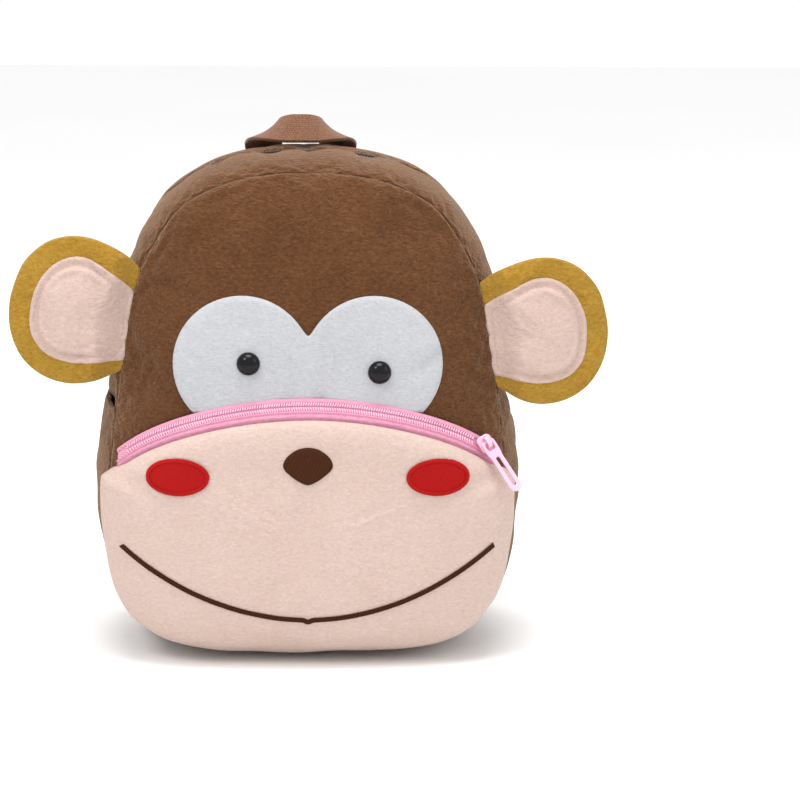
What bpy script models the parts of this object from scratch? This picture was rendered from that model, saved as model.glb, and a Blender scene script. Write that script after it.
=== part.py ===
"""Plush animal backpack: a brown monkey with a zipped muzzle pocket.

Metres, +Z up, the face looks along -Y. The origin is the middle of the flat
base patch that the bag stands on. The bag is hollow: two domed panels are
joined by gusset strips, and the muzzle is a pocket on the front panel.
"""
import math

import bmesh
import bpy
import numpy as np
from mathutils import Matrix, Vector

# Body sizes
SEAM_WIDTH = 0.210
SEAM_HEIGHT = 0.250
SEAM_BASE_Z = 0.007
HALF_DEPTH = 0.042
WALL = 0.0035
RIM_WALL = 0.0015
LIP = 0.0035
GAP = 0.0003
PATCH_GAP = 0.0008
FRONT_DOME = 0.019
BACK_DOME = 0.009
PANEL_CENTRE_Z = 0.122
GUSSET_BULGE = 0.0075
BASE_BULGE = 0.0095
GUSSET_JOINT_Z = 0.133
JOINT_NOTCH = 0.50
JOINT_NOTCH_LENGTH = 0.016

# Main zip in the upper gusset
MAIN_ZIP_Y = 0.005
MAIN_ZIP_WIDTH = 0.011
MAIN_ZIP_WALL = 0.0014

# Muzzle pocket and its zip
MUZZLE_Y = -0.081
MUZZLE_CENTRE_Z = 0.066
MUZZLE_OVERHANG = 0.0055
MUZZLE_WALL = 0.0032
POCKET_ZIP_TOP_Z = 0.143
POCKET_ZIP_HALF = 0.102
POCKET_ZIP_SAG = 0.025
POCKET_ZIP_END_DROP = 0.008
POCKET_ZIP_DROP = 0.0105
POCKET_ZIP_STEP = 0.0085
POCKET_ZIP_END_STEP = 0.0058
POCKET_ZIP_REACH = 0.935
CORNER_SEARCH_SHARE = 3 / 7
TAPE_WALL = 0.0010
COIL_SHARE = 0.42
COIL_WIDTH = 0.0052
COIL_WALL = 0.0018
SLIDER_INSET = 0.0115
SLIDER_X = POCKET_ZIP_HALF - SLIDER_INSET
SLIDER_LENGTH = 0.0095
SLIDER_WIDTH = 0.0082
SLIDER_BODY = 0.0028
SLIDER_LIFT = 0.0024
BRIDGE_LENGTH = 0.0064
BRIDGE_HEIGHT = 0.0042
BRIDGE_WIDTH = 0.0024
BRIDGE_WALL = 0.0011
PULL_LENGTH = 0.0300
PULL_WIDTH = 0.0078
PULL_TIP_WIDTH = 0.0066
PULL_WALL = 0.0016
PULL_BAR = 0.0016
PULL_DIRECTION = (0.56, -0.36, -0.82)
SLIDER_NORMAL = (0.22, -0.86, 0.46)

# Face
LOBE_RADIUS = 0.0362
LOBE_X = 0.0340
LOBE_Z = 0.1600
LOBE_BLEND = 4.0
FACE_PATCH_WALL = 0.0012
EYE_DIAMETER = 0.0122
EYE_RISE = 0.0046
EYE_CENTRES = {"left": (-0.0308, 0.1610), "right": (0.0370, 0.1565)}
NOSE_WIDTH = 0.0262
NOSE_HEIGHT = 0.0200
NOSE_Z = 0.1100
NOSE_WALL = 0.0013
CHEEK_WIDTH = 0.0322
CHEEK_HEIGHT = 0.0182
CHEEK_X = 0.0670
CHEEK_Z = 0.1040
CHEEK_WALL = 0.0010
SMILE_HALF = 0.0970
SMILE_Z = 0.0280
SMILE_RISE = 0.0380
SMILE_WIDTH = 0.0026
SMILE_WALL = 0.0010

# Ears
EAR_WIDTH = 0.0610
EAR_HEIGHT = 0.0770
EAR_THICKNESS = 0.0120
EAR_PLANE_Y = -0.0495
EAR_SWEEP = 0.0050
EAR_ROOT_SHARE = 0.24
EAR_PATCH_WALL = 0.0012
EAR_PATCH_GAP = 0.0011

# Handle and straps
WEBBING = 0.0250
WEBBING_WALL = 0.0014
HANDLE_X = -0.0040
HANDLE_WALL = 0.0018
STRAP_WIDTH = 0.0490
STRAP_THICKNESS = 0.0130
STRAP_EDGE = 0.0034
BUCKLE_WIDTH = 0.0325
BUCKLE_WALL = 0.0050
BUCKLE_X = 0.0470
BUCKLE_Y = 0.0840
BUCKLE_Z = 0.0330

# Right half of the front seam, from the base up: share of the half width, share of the height
SEAM_OUTLINE = [
    (0.000, 0.000), (0.450, 0.003), (0.750, 0.035), (0.920, 0.115), (0.985, 0.230),
    (1.000, 0.330), (0.975, 0.430), (0.945, 0.540), (0.905, 0.660), (0.845, 0.775),
    (0.735, 0.870), (0.600, 0.938), (0.380, 0.982), (0.150, 0.999), (0.000, 1.000),
]
# Panel rings from the seam in: share of the radius, share of the dome
PANEL_RINGS = [
    (1.000, 0.00), (0.970, 0.00), (0.945, 0.21), (0.900, 0.43), (0.830, 0.62),
    (0.730, 0.78), (0.600, 0.89), (0.430, 0.96), (0.220, 0.99),
]
# Gusset columns from the front rim to its middle: share of the half depth, share of the bulge
GUSSET_COLUMNS = [(1.00, 0.00), (0.95, 0.00), (0.78, 0.52), (0.50, 0.87), (0.16, 1.00)]
# Muzzle rings from the sewn edge in. Along the seam and along the zip: share of the radius,
# share of the overhang, share of the rise
MUZZLE_SEAM_RINGS = [
    (0.982, 0.00, 0.00), (1.000, 0.00, 0.00), (1.000, 0.55, 0.06), (1.000, 0.92, 0.17),
    (1.000, 1.00, 0.31), (0.992, 0.75, 0.47), (0.960, 0.45, 0.63), (0.900, 0.15, 0.76),
    (0.800, 0.00, 0.87), (0.640, 0.00, 0.95), (0.400, 0.00, 0.99),
]
MUZZLE_ZIP_RINGS = [
    (0.985, 0.00, -0.10), (1.000, 0.00, 0.00), (1.004, 0.00, 0.10), (1.003, 0.00, 0.21),
    (0.996, 0.00, 0.33), (0.982, 0.00, 0.45), (0.955, 0.00, 0.58), (0.905, 0.00, 0.72),
    (0.810, 0.00, 0.86), (0.650, 0.00, 0.95), (0.400, 0.00, 0.99),
]
# First muzzle ring that faces forward
MUZZLE_FRONT_RING = 4
# Ear outline from the top of its root round to the bottom: share of the width, of the half height
EAR_OUTLINE = [
    (0.00, 0.72), (0.18, 0.90), (0.38, 1.00), (0.60, 0.98), (0.80, 0.82), (0.95, 0.50), (1.00, 0.14),
    (1.00, -0.16), (0.94, -0.50), (0.80, -0.80), (0.60, -0.97), (0.38, -1.00), (0.18, -0.90), (0.00, -0.72),
]
EAR_PATCH_OUTLINE = [
    (0.10, 0.50), (0.22, 0.62), (0.38, 0.72), (0.56, 0.71), (0.71, 0.53), (0.80, 0.22), (0.81, -0.10),
    (0.76, -0.42), (0.62, -0.63), (0.40, -0.68), (0.22, -0.61), (0.10, -0.50),
]
# Ear rings from the rim in: share of the radius, share of the thickness
EAR_RINGS = [(1.00, 0.14), (0.92, 0.56), (0.75, 0.86), (0.42, 0.98)]
# Height of each ear's root on the seam and its tilt in degrees
EAR_PLACES = {"left": (0.1800, 13.0), "right": (0.1725, 6.0)}
# Nose: a triangle with round corners, share of the half width, share of the half height
NOSE_OUTLINE = [
    (0.00, 1.00), (0.45, 0.96), (0.80, 0.78), (1.00, 0.40), (0.90, 0.00), (0.62, -0.50), (0.34, -0.88),
    (0.00, -1.00), (-0.34, -0.88), (-0.62, -0.50), (-0.90, 0.00), (-1.00, 0.40), (-0.80, 0.78), (-0.45, 0.96),
]
# Right half of the handle from its top to its foot, in metres: x, y and z of the edge that starts
# at the back and of the edge that starts at the front
HANDLE_EDGES = [
    (0.0000, 0.0270, 0.2798, 0.0000, 0.0125, 0.2672), (0.0060, 0.0280, 0.2794, 0.0090, 0.0130, 0.2672),
    (0.0110, 0.0330, 0.2768, 0.0190, 0.0180, 0.2675), (0.0120, 0.0395, 0.2712, 0.0270, 0.0280, 0.2668),
    (0.0105, 0.0430, 0.2645, 0.0302, 0.0380, 0.2632), (0.0095, 0.0430, 0.2605, 0.0300, 0.0430, 0.2590),
]
# Right strap's middle line from the top seam down, in metres
STRAP_ROUTE = [
    (0.0250, 0.0480, 0.2525), (0.0255, 0.0580, 0.2510), (0.0275, 0.0680, 0.2380), (0.0310, 0.0760, 0.2120),
    (0.0360, 0.0830, 0.1750), (0.0415, 0.0865, 0.1350), (0.0450, 0.0865, 0.1000), (0.0470, 0.0820, 0.0610),
]
# Strap columns from the inner edge to the outer edge: share of the half width, share of the thickness
STRAP_COLUMNS = [
    (-1.00, 0.30), (-0.90, 0.74), (-0.55, 1.00), (0.00, 1.00), (0.55, 1.00), (0.90, 0.74), (1.00, 0.30),
]
# Bars and slots of the ladder buckle from the top edge down, in metres
BUCKLE_BAR = 0.0036
BUCKLE_SLOT = 0.0052
BUCKLE_TONGUE = 0.0125
SLOT_WIDTH = 0.0266

MATERIALS = {
    "brown_plush": ((0.155, 0.075, 0.040), 0.92, 0.0),
    "peach_plush": ((0.820, 0.610, 0.500), 0.92, 0.0),
    "yellow_plush": ((0.560, 0.330, 0.050), 0.92, 0.0),
    "pale_pink_plush": ((0.780, 0.560, 0.500), 0.92, 0.0),
    "white_plush": ((0.720, 0.760, 0.800), 0.90, 0.0),
    "red_felt": ((0.620, 0.015, 0.015), 0.85, 0.0),
    "dark_brown_thread": ((0.070, 0.026, 0.012), 0.70, 0.0),
    "pink_zip": ((0.820, 0.330, 0.520), 0.55, 0.0),
    "pink_enamel": ((0.860, 0.400, 0.580), 0.25, 0.0),
    "brown_zip": ((0.140, 0.070, 0.040), 0.60, 0.0),
    "brown_webbing": ((0.230, 0.095, 0.050), 0.75, 0.0),
    "dark_plastic": ((0.055, 0.043, 0.040), 0.35, 0.0),
    "black_bead": ((0.008, 0.008, 0.010), 0.08, 0.0),
}


# Scene, materials and objects

def clear_scene():
    for item in list(bpy.data.objects):
        bpy.data.objects.remove(item, do_unlink=True)


def new_collection(name):
    collection = bpy.data.collections.new(name)
    bpy.context.scene.collection.children.link(collection)
    return collection


def material(name):
    found = bpy.data.materials.get(name)
    if found:
        return found
    colour, roughness, metallic = MATERIALS[name]
    made = bpy.data.materials.new(name)
    made.use_nodes = True
    shader = made.node_tree.nodes["Principled BSDF"]
    shader.inputs["Base Color"].default_value = (*colour, 1.0)
    shader.inputs["Roughness"].default_value = roughness
    shader.inputs["Metallic"].default_value = metallic
    return made


def add_object(name, data, finish, origin=(0.0, 0.0, 0.0)):
    item = bpy.data.objects.new(name, data)
    item.location = origin
    data.materials.append(material(finish))
    PARTS.objects.link(item)
    return item


def grid_mesh(name, rows, origin, closed, pole, flip):
    """Quads between rows of points. A closed grid wraps round; a pole closes its last row."""
    width = len(rows[0])
    points = [Vector(p) - Vector(origin) for row in rows for p in row]
    across = width if closed else width - 1
    faces = []
    for r in range(len(rows) - 1):
        for c in range(across):
            d = (c + 1) % width
            faces.append((r * width + c, r * width + d, (r + 1) * width + d, (r + 1) * width + c))
    if pole is not None:
        points.append(Vector(pole) - Vector(origin))
        last = (len(rows) - 1) * width
        faces += [(last + c, last + (c + 1) % width, len(points) - 1) for c in range(width)]
    if flip:
        faces = [tuple(reversed(face)) for face in faces]
    mesh = bpy.data.meshes.new(name)
    mesh.from_pydata(points, [], faces)
    mesh.shade_smooth()
    return mesh


def sheet(name, rows, thickness, finish, origin=(0.0, 0.0, 0.0), closed=False, pole=None,
          flip=False, offset=-1.0, shares=None):
    """An open grid given its thickness by Solidify; shares thins it row by row or point by point."""
    item = add_object(name, grid_mesh(name, rows, origin, closed, pole, flip), finish, origin)
    solid = item.modifiers.new("thickness", "SOLIDIFY")
    solid.thickness = thickness
    solid.offset = offset
    solid.use_even_offset = True
    if shares is not None:
        group = item.vertex_groups.new(name="thickness")
        width = len(rows[0])
        for r, row_share in enumerate(shares):
            for c in range(width):
                share = row_share[c] if isinstance(row_share, (list, tuple)) else row_share
                group.add([r * width + c], share, "REPLACE")
        if pole is not None:
            group.add([len(rows) * width], 1.0, "REPLACE")
        solid.vertex_group = group.name
        solid.thickness_vertex_group = 0.0
    return item


# Curves and outlines

def smooth_line(points, steps, closed=False):
    """Catmull-Rom curve through the points, with steps pieces to each span."""
    given = [np.array(p, dtype=float) for p in points]
    count = len(given)
    if closed:
        padded = [given[-1]] + given + [given[0], given[1]]
        spans = count
    else:
        padded = [2 * given[0] - given[1]] + given + [2 * given[-1] - given[-2]]
        spans = count - 1
    line = []
    for s in range(spans):
        a, b, c, d = padded[s:s + 4]
        for k in range(steps):
            t = k / steps
            line.append(0.5 * (2 * b + (c - a) * t + (2 * a - 5 * b + 4 * c - d) * t ** 2
                               + (3 * b - a - 3 * c + d) * t ** 3))
    if not closed:
        line.append(given[-1])
    return np.array(line)


def lengths_along(line):
    steps = np.linalg.norm(np.diff(line, axis=0), axis=1)
    return np.concatenate([[0.0], np.cumsum(steps)])


def even_points(line, shares):
    """Points at the given shares of an open line's length."""
    lengths = lengths_along(line)
    at = np.array(shares) * lengths[-1]
    return np.stack([np.interp(at, lengths, line[:, k]) for k in range(line.shape[1])], axis=1)


def scaled(table, half_width, half_height, centre=(0.0, 0.0)):
    return [(centre[0] + a * half_width, centre[1] + b * half_height) for a, b in table]


def seam_line():
    """The closed seam outline in x and z, anticlockwise seen from the front, from the base middle."""
    right = [(a * SEAM_WIDTH / 2, SEAM_BASE_Z + b * SEAM_HEIGHT) for a, b in SEAM_OUTLINE]
    left = [(-x, z) for x, z in reversed(right[1:-1])]
    line = smooth_line(right + left, 12, closed=True)
    return np.vstack([line, line[:1]])


def seam_outward(share):
    """Point on the seam outline and its outward direction, at a share of its length."""
    step = 0.0015
    a, p, b = even_points(SEAM, [(share - step) % 1.0, share % 1.0, (share + step) % 1.0])
    along = (b - a) / np.linalg.norm(b - a)
    return p, np.array([along[1], -along[0]])


def seam_share_at(z, side):
    """Share of the seam's length where it passes the height z on the right or the left."""
    lengths = lengths_along(SEAM)
    half = len(SEAM) // 2
    share = np.interp(z, SEAM[6:half, 1], lengths[6:half]) / lengths[-1]
    return share if side == "right" else 1.0 - share


def seam_half_width(z):
    half = len(SEAM) // 2
    return float(np.interp(z, SEAM[6:half, 1], SEAM[6:half, 0]))


def seam_top_z(x):
    """Height of the seam's crown over the place x."""
    quarter = len(SEAM) // 4
    half = len(SEAM) // 2
    top = SEAM[quarter + quarter // 2:half + 1]
    return float(np.interp(-abs(x), -top[:, 0], top[:, 1]))


def polar_radius(line, centre):
    """Angles and radii of a closed outline about a centre, ready for np.interp."""
    rel = line - np.array(centre)
    angles = np.unwrap(np.arctan2(rel[:, 1], rel[:, 0]))
    radii = np.hypot(rel[:, 0], rel[:, 1])
    turn = 2 * math.pi
    return np.concatenate([angles - turn, angles, angles + turn]), np.tile(radii, 3)


def rounded_path(points, radius, steps):
    """A polyline in y and z whose corners are arcs, for webbing that folds round bars."""
    given = [np.array(p, dtype=float) for p in points]
    path = [given[0]]
    for before, corner, after in zip(given, given[1:], given[2:]):
        a = (before - corner) / np.linalg.norm(before - corner)
        b = (after - corner) / np.linalg.norm(after - corner)
        half = 0.5 * math.acos(max(-1.0, min(1.0, float(a @ b))))
        reach = radius / math.tan(half)
        centre = corner + (a + b) / np.linalg.norm(a + b) * radius / math.sin(half)
        start = corner + a * reach - centre
        end = corner + b * reach - centre
        sweep = math.pi - 2 * half
        for k in range(steps + 1):
            t = k / steps
            turned = math.sin((1 - t) * sweep) * start + math.sin(t * sweep) * end
            path.append(centre + turned / math.sin(sweep))
    path.append(given[-1])
    return path


# Surfaces that other pieces lie on

def panel_lip_y():
    return -(HALF_DEPTH + GAP / 2 + RIM_WALL)


def front_panel_y(x, z):
    """Outer face of the front panel."""
    angle = math.atan2(z - PANEL_CENTRE_Z, x)
    share = math.hypot(x, z - PANEL_CENTRE_Z) / np.interp(angle, *SEAM_POLAR)
    reach, rise = zip(*reversed(PANEL_RINGS))
    return panel_lip_y() - FRONT_DOME * np.interp(share, (0.0,) + reach, (1.0,) + rise)


def pocket_zip_z(x):
    """Upper edge of the pocket zip: a shallow arch whose ends drop to the side seams."""
    share = abs(x) / POCKET_ZIP_HALF
    return POCKET_ZIP_TOP_Z - POCKET_ZIP_SAG * share ** 2 - POCKET_ZIP_END_DROP * share ** 8


def pocket_zip_step(x):
    """How far the muzzle's upper edge stands in front of the panel."""
    share = min(1.0, abs(x) / POCKET_ZIP_HALF)
    return POCKET_ZIP_STEP + (POCKET_ZIP_END_STEP - POCKET_ZIP_STEP) * share ** 3


def muzzle_edge_z(x):
    return pocket_zip_z(x) - POCKET_ZIP_DROP


def muzzle_line():
    """The muzzle's outline from the base middle, its zip weight and its rim depth at each point."""
    search = np.linspace(SEAM_WIDTH * CORNER_SEARCH_SHARE, SEAM_WIDTH / 2, 200)
    corner = next(x for x in search if x >= seam_half_width(muzzle_edge_z(x)))
    corner_share = seam_share_at(muzzle_edge_z(corner), "right")
    lower = even_points(SEAM, np.linspace(0.0, corner_share, 90))
    arch = np.array([(x, muzzle_edge_z(x)) for x in np.linspace(corner, 0.0, 60)[1:]])
    right = np.vstack([lower, arch])
    line = np.vstack([right, np.column_stack([-right[-2::-1, 0], right[-2::-1, 1]])])
    weights = []
    depths = []
    for x, z in line:
        inside = max(0.0, (corner - abs(x)) / 0.012) if z > muzzle_edge_z(corner) - 1e-6 else 0.0
        weight = min(1.0, inside)
        weights.append(weight * weight * (3 - 2 * weight))
        depths.append(front_panel_y(x, z) - pocket_zip_step(x) if z > muzzle_edge_z(corner) - 1e-6 else 0.0)
    return line, np.array(weights), np.array(depths)


def muzzle_section(weight, zip_depth, radius):
    """Distance from the muzzle's centre and depth of each ring, along one direction."""
    seam_depth = panel_lip_y() - GAP
    base = seam_depth + weight * (zip_depth - seam_depth)
    section = []
    for along_seam, along_zip in zip(MUZZLE_SEAM_RINGS, MUZZLE_ZIP_RINGS):
        reach, out, rise = (a + weight * (b - a) for a, b in zip(along_seam, along_zip))
        section.append((reach * radius + out * MUZZLE_OVERHANG, base + rise * (MUZZLE_Y - base)))
    return section


def muzzle_y(x, z):
    """Outer face of the muzzle where it looks forward."""
    angle = math.atan2(z - MUZZLE_CENTRE_Z, x)
    angles, radii, weights, depths = MUZZLE_POLAR
    section = muzzle_section(np.interp(angle, angles, weights), np.interp(angle, angles, depths),
                             np.interp(angle, angles, radii))[MUZZLE_FRONT_RING:]
    reach, depth = zip(*reversed(section))
    return np.interp(math.hypot(x, z - MUZZLE_CENTRE_Z), (0.0,) + reach, (MUZZLE_Y,) + depth)


def patch(name, outline, centre, surface_y, thickness, finish, rings, gap=PATCH_GAP, rim_share=0.5):
    """A flat cut-out laid on a curved face: rings of its outline, each point set on the surface."""
    rows = []
    for reach in rings:
        row = []
        for x, z in outline:
            px = centre[0] + reach * (x - centre[0])
            pz = centre[1] + reach * (z - centre[1])
            row.append((px, surface_y(px, pz) - gap, pz))
        rows.append(row)
    pole = (centre[0], surface_y(*centre) - gap, centre[1])
    origin = pole
    shares = [rim_share] + [1.0] * (len(rings) - 1)
    return sheet(name, rows, thickness, finish, origin, closed=True, pole=pole, offset=1.0, shares=shares)


# Bag body

def make_panel(name, side, dome, rings, finish):
    """A domed panel; side is -1 for the front and 1 for the back."""
    rim = even_points(SEAM, np.linspace(0.0, 1.0, 35))[:-1]
    centre = np.array([0.0, PANEL_CENTRE_Z])
    rows = []
    for reach, rise in rings:
        y = side * (-panel_lip_y() + dome * rise)
        rows.append([(*(centre + reach * (p - centre)), y) for p in rim])
    rows = [[(x, y, z) for x, z, y in row] for row in rows]
    pole = (0.0, side * (-panel_lip_y() + dome), PANEL_CENTRE_Z)
    shares = [RIM_WALL / WALL, RIM_WALL / WALL, 0.8] + [1.0] * (len(rows) - 3)
    return sheet(name, rows, WALL, finish, closed=True, pole=pole, flip=side > 0, shares=shares)


def bulge_at(share):
    """Height of the gusset's bulge: fuller at the base, pinched at the side joints."""
    point, outward = seam_outward(share)
    base_part = max(0.0, -outward[1]) ** 2
    bulge = GUSSET_BULGE + (BASE_BULGE - GUSSET_BULGE) * base_part
    lengths = lengths_along(SEAM)[-1]
    nearest = min(abs(share - seam_share_at(GUSSET_JOINT_Z, side)) for side in ("left", "right")) * lengths
    pinch = math.exp(-(nearest / JOINT_NOTCH_LENGTH) ** 2)
    return point, outward, bulge * (1.0 - JOINT_NOTCH * pinch)


def gusset_point(point, outward, bulge, y_share):
    """A point of the gusset's outer face at a share of the half depth, kept off the floor."""
    shares, rises = zip(*reversed(GUSSET_COLUMNS))
    rise = np.interp(abs(y_share), (0.0,) + shares, (1.0,) + rises)
    x, z = point + outward * bulge * rise
    return (x, y_share * (HALF_DEPTH - GAP / 2), max(0.0, z))


def make_gusset(name, start, end, count, columns, finish, lips):
    """A gusset strip along the seam from one share of its length to another.

    columns are shares of the half depth; lips says which of the two long edges ends
    in a straight lip at the depth of its neighbour column.
    """
    rows = []
    for share in np.linspace(start, end, count):
        point, outward, bulge = bulge_at(share)
        row = [gusset_point(point, outward, bulge, c) for c in columns]
        if lips[0]:
            x, _, z = row[1]
            row[0] = (x, row[0][1], z)
        if lips[1]:
            x, _, z = row[-2]
            row[-1] = (x, row[-1][1], z)
        rows.append(row)
    rim = RIM_WALL / WALL
    column_shares = [rim, rim] + [1.0] * (len(columns) - 4) + [rim, rim]
    return sheet(name, rows, WALL, finish, shares=[column_shares] * count)


def make_body():
    make_panel("front_panel", -1, FRONT_DOME, PANEL_RINGS, "brown_plush")
    back_rings = [PANEL_RINGS[k] for k in (0, 1, 3, 5, 7)]
    make_panel("back_panel", 1, BACK_DOME, back_rings, "brown_plush")
    half_turn = [s for s, _ in GUSSET_COLUMNS]
    full = [-s for s in half_turn] + half_turn[::-1]
    length = lengths_along(SEAM)[-1]
    right = seam_share_at(GUSSET_JOINT_Z, "right")
    left = seam_share_at(GUSSET_JOINT_Z, "left")
    slack = GAP / 2 / length
    make_gusset("gusset_lower", left + slack - 1.0, right - slack, 29, full, "brown_plush", (False, False))
    zip_front = (MAIN_ZIP_Y - MAIN_ZIP_WIDTH / 2) / HALF_DEPTH
    zip_back = (MAIN_ZIP_Y + MAIN_ZIP_WIDTH / 2) / HALF_DEPTH
    edge = GAP / HALF_DEPTH
    lip = LIP / HALF_DEPTH
    front = [c for c in full if c < zip_front - lip - 0.05] + [zip_front - lip, zip_front - edge]
    back = [zip_back + edge, zip_back + lip] + [c for c in full if c > zip_back + lip + 0.05]
    upper = (right + slack, left - slack, 27)
    make_gusset("gusset_upper_front", *upper, front, "brown_plush", (False, True))
    make_gusset("gusset_upper_back", *upper, back, "brown_plush", (True, False))
    make_main_zip(*upper, zip_front, zip_back)


def make_main_zip(start, end, count, zip_front, zip_back):
    """Brown zip round the crown: one strip whose coil stands up along its middle."""
    middle = (zip_front + zip_back) / 2
    half = (zip_back - zip_front) / 2
    profile = [(-1.0, 0.0), (-0.42, 0.0), (-0.30, 0.0010), (0.30, 0.0010), (0.42, 0.0), (1.0, 0.0)]
    rows = []
    for share in np.linspace(start, end, count):
        point, outward, bulge = bulge_at(share)
        row = []
        for across, rise in profile:
            x, y, z = gusset_point(point, outward, bulge, middle + across * half)
            row.append((x + outward[0] * rise, y, z + outward[1] * rise))
        rows.append(row)
    return sheet("main_zip", rows, MAIN_ZIP_WALL, "brown_zip")


# Muzzle pocket

def make_muzzle():
    line, weights, depths = MUZZLE_LINE
    lengths = lengths_along(line)
    shares = np.linspace(0.0, 1.0, 41)[:-1]
    at = shares * lengths[-1]
    rim = even_points(line, shares)
    centre = np.array([0.0, MUZZLE_CENTRE_Z])
    rows = [[] for _ in MUZZLE_SEAM_RINGS]
    for k, point in enumerate(rim):
        radius = float(np.linalg.norm(point - centre))
        ray = (point - centre) / radius
        weight = np.interp(at[k], lengths, weights)
        depth = np.interp(at[k], lengths, depths)
        for row, (distance, y) in zip(rows, muzzle_section(weight, depth, radius)):
            x, z = centre + ray * distance
            row.append((x, y, z))
    rim_share = RIM_WALL / MUZZLE_WALL
    wall_shares = [rim_share, rim_share, 0.7] + [1.0] * (len(rows) - 3)
    pole = (0.0, MUZZLE_Y, MUZZLE_CENTRE_Z)
    return sheet("muzzle_pocket", rows, MUZZLE_WALL, "peach_plush", closed=True, pole=pole, shares=wall_shares)


def pocket_zip_points(x, share):
    """A point of the pocket zip's face: share 0 is the upper edge, 1 is at the muzzle's edge."""
    top_z = pocket_zip_z(x)
    low_z = muzzle_edge_z(x) + 2.5 * GAP
    top_y = front_panel_y(x, top_z) - GAP - 1.7 * TAPE_WALL
    low_y = front_panel_y(x, low_z) - pocket_zip_step(x) - GAP
    return Vector((x, top_y + share * (low_y - top_y), top_z + share * (low_z - top_z)))


def zip_frame(x, share):
    """Along, across and outward directions of the pocket zip's face."""
    step = 0.001
    along = (pocket_zip_points(x + step, share) - pocket_zip_points(x - step, share)).normalized()
    down = pocket_zip_points(x, min(1.0, share + 0.2)) - pocket_zip_points(x, share - 0.2)
    outward = down.cross(along).normalized()
    if outward.y > 0:
        outward = -outward
    return along, outward.cross(along).normalized(), outward


def make_pocket_zip():
    reach = POCKET_ZIP_HALF * POCKET_ZIP_REACH
    stations = np.linspace(-reach, reach, 25)
    rows = [[pocket_zip_points(x, s) for s in (0.0, 0.5, 1.0)] for x in stations]
    sheet("pocket_zip_tape", rows, TAPE_WALL, "pink_zip")
    coil_end = SLIDER_X - SLIDER_LENGTH / 2 - 2 * GAP
    rows = []
    for x in np.linspace(-reach, coil_end, 25):
        _, across, outward = zip_frame(x, COIL_SHARE)
        middle = pocket_zip_points(x, COIL_SHARE) + outward * GAP
        rows.append([middle + across * COIL_WIDTH * s for s in (-0.5, 0.5)])
    sheet("pocket_zip_coil", rows, COIL_WALL, "pink_zip", offset=1.0, flip=True)


def face_frame(at, along, outward):
    """A matrix whose X runs along, whose Z points outward, placed at a point."""
    x = along.normalized()
    z = (outward - x * outward.dot(x)).normalized()
    y = z.cross(x)
    frame = Matrix((x, y, z)).transposed().to_4x4()
    frame.translation = at
    return frame


def flat_outline(name, loops, thickness, finish, frame):
    """A 2D curve filled between its loops and extruded to a thickness, placed by a matrix."""
    curve = bpy.data.curves.new(name, "CURVE")
    curve.dimensions = "2D"
    curve.fill_mode = "BOTH"
    curve.extrude = thickness / 2
    for loop in loops:
        spline = curve.splines.new("POLY")
        spline.points.add(len(loop) - 1)
        for point, (x, y) in zip(spline.points, loop):
            point.co = (x, y, 0.0, 1.0)
        spline.use_cyclic_u = True
    item = add_object(name, curve, finish)
    item.matrix_world = frame
    return item


def round_box(width, height, radius, centre=(0.0, 0.0), steps=3):
    """A rectangle with round corners, as a loop of points."""
    loop = []
    for k, (sx, sy) in enumerate([(1, 1), (-1, 1), (-1, -1), (1, -1)]):
        cx = centre[0] + sx * (width / 2 - radius)
        cy = centre[1] + sy * (height / 2 - radius)
        for step in range(steps + 1):
            angle = math.pi / 2 * (k + step / steps)
            loop.append((cx + radius * math.cos(angle), cy + radius * math.sin(angle)))
    return loop


def slider_frame():
    """Place of the slider on the pocket zip, turned so that the pull hangs over the muzzle's side."""
    _, _, outward = zip_frame(SLIDER_X, COIL_SHARE)
    at = pocket_zip_points(SLIDER_X, COIL_SHARE)
    hang = Vector(PULL_DIRECTION).normalized()
    normal = Vector(SLIDER_NORMAL).normalized()
    return face_frame(at + outward * (SLIDER_LIFT + SLIDER_BODY / 2), hang, normal)


def make_slider():
    """Slider body with the bridge that holds the pull, as one plain piece."""
    frame = slider_frame()
    half = BRIDGE_LENGTH / 2
    body = round_box(SLIDER_LENGTH, SLIDER_WIDTH, 0.0022)
    item = flat_outline("pocket_zip_slider", [body], SLIDER_BODY, "pink_enamel", frame)
    solid = curve_to_mesh(item)
    inner = half - BRIDGE_WALL
    top = BRIDGE_HEIGHT
    under = BRIDGE_HEIGHT - BRIDGE_WALL
    chamfer = BRIDGE_WALL / 2
    arch = [(half, -GAP), (half, top - chamfer), (half - chamfer, top), (chamfer - half, top),
            (-half, top - chamfer),
            (-half, -GAP), (-inner, -GAP), (-inner, under), (inner, under), (inner, -GAP)]
    stand = Matrix.Translation((0.0, 0.0, SLIDER_BODY / 2)) @ Matrix.Rotation(math.pi / 2, 4, "X")
    cutter = curve_to_mesh(flat_outline("slider_bridge", [arch], BRIDGE_WIDTH, "pink_enamel", frame @ stand))
    PARTS.objects.unlink(cutter)
    TOOLS.objects.link(cutter)
    cutter.hide_render = True
    cutter.display_type = "WIRE"
    join = solid.modifiers.new("bridge", "BOOLEAN")
    join.operation = "UNION"
    join.object = cutter
    join.solver = "EXACT"


def curve_to_mesh(item):
    """The evaluated mesh of a curve object, with its caps welded, in place of the curve."""
    name = item.name
    graph = bpy.context.evaluated_depsgraph_get()
    mesh = bpy.data.meshes.new_from_object(item.evaluated_get(graph))
    work = bmesh.new()
    work.from_mesh(mesh)
    bmesh.ops.remove_doubles(work, verts=work.verts, dist=0.00001)
    work.to_mesh(mesh)
    work.free()
    matrix = item.matrix_world.copy()
    bpy.data.objects.remove(item, do_unlink=True)
    solid = bpy.data.objects.new(name, mesh)
    solid.matrix_world = matrix
    PARTS.objects.link(solid)
    return solid


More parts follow.
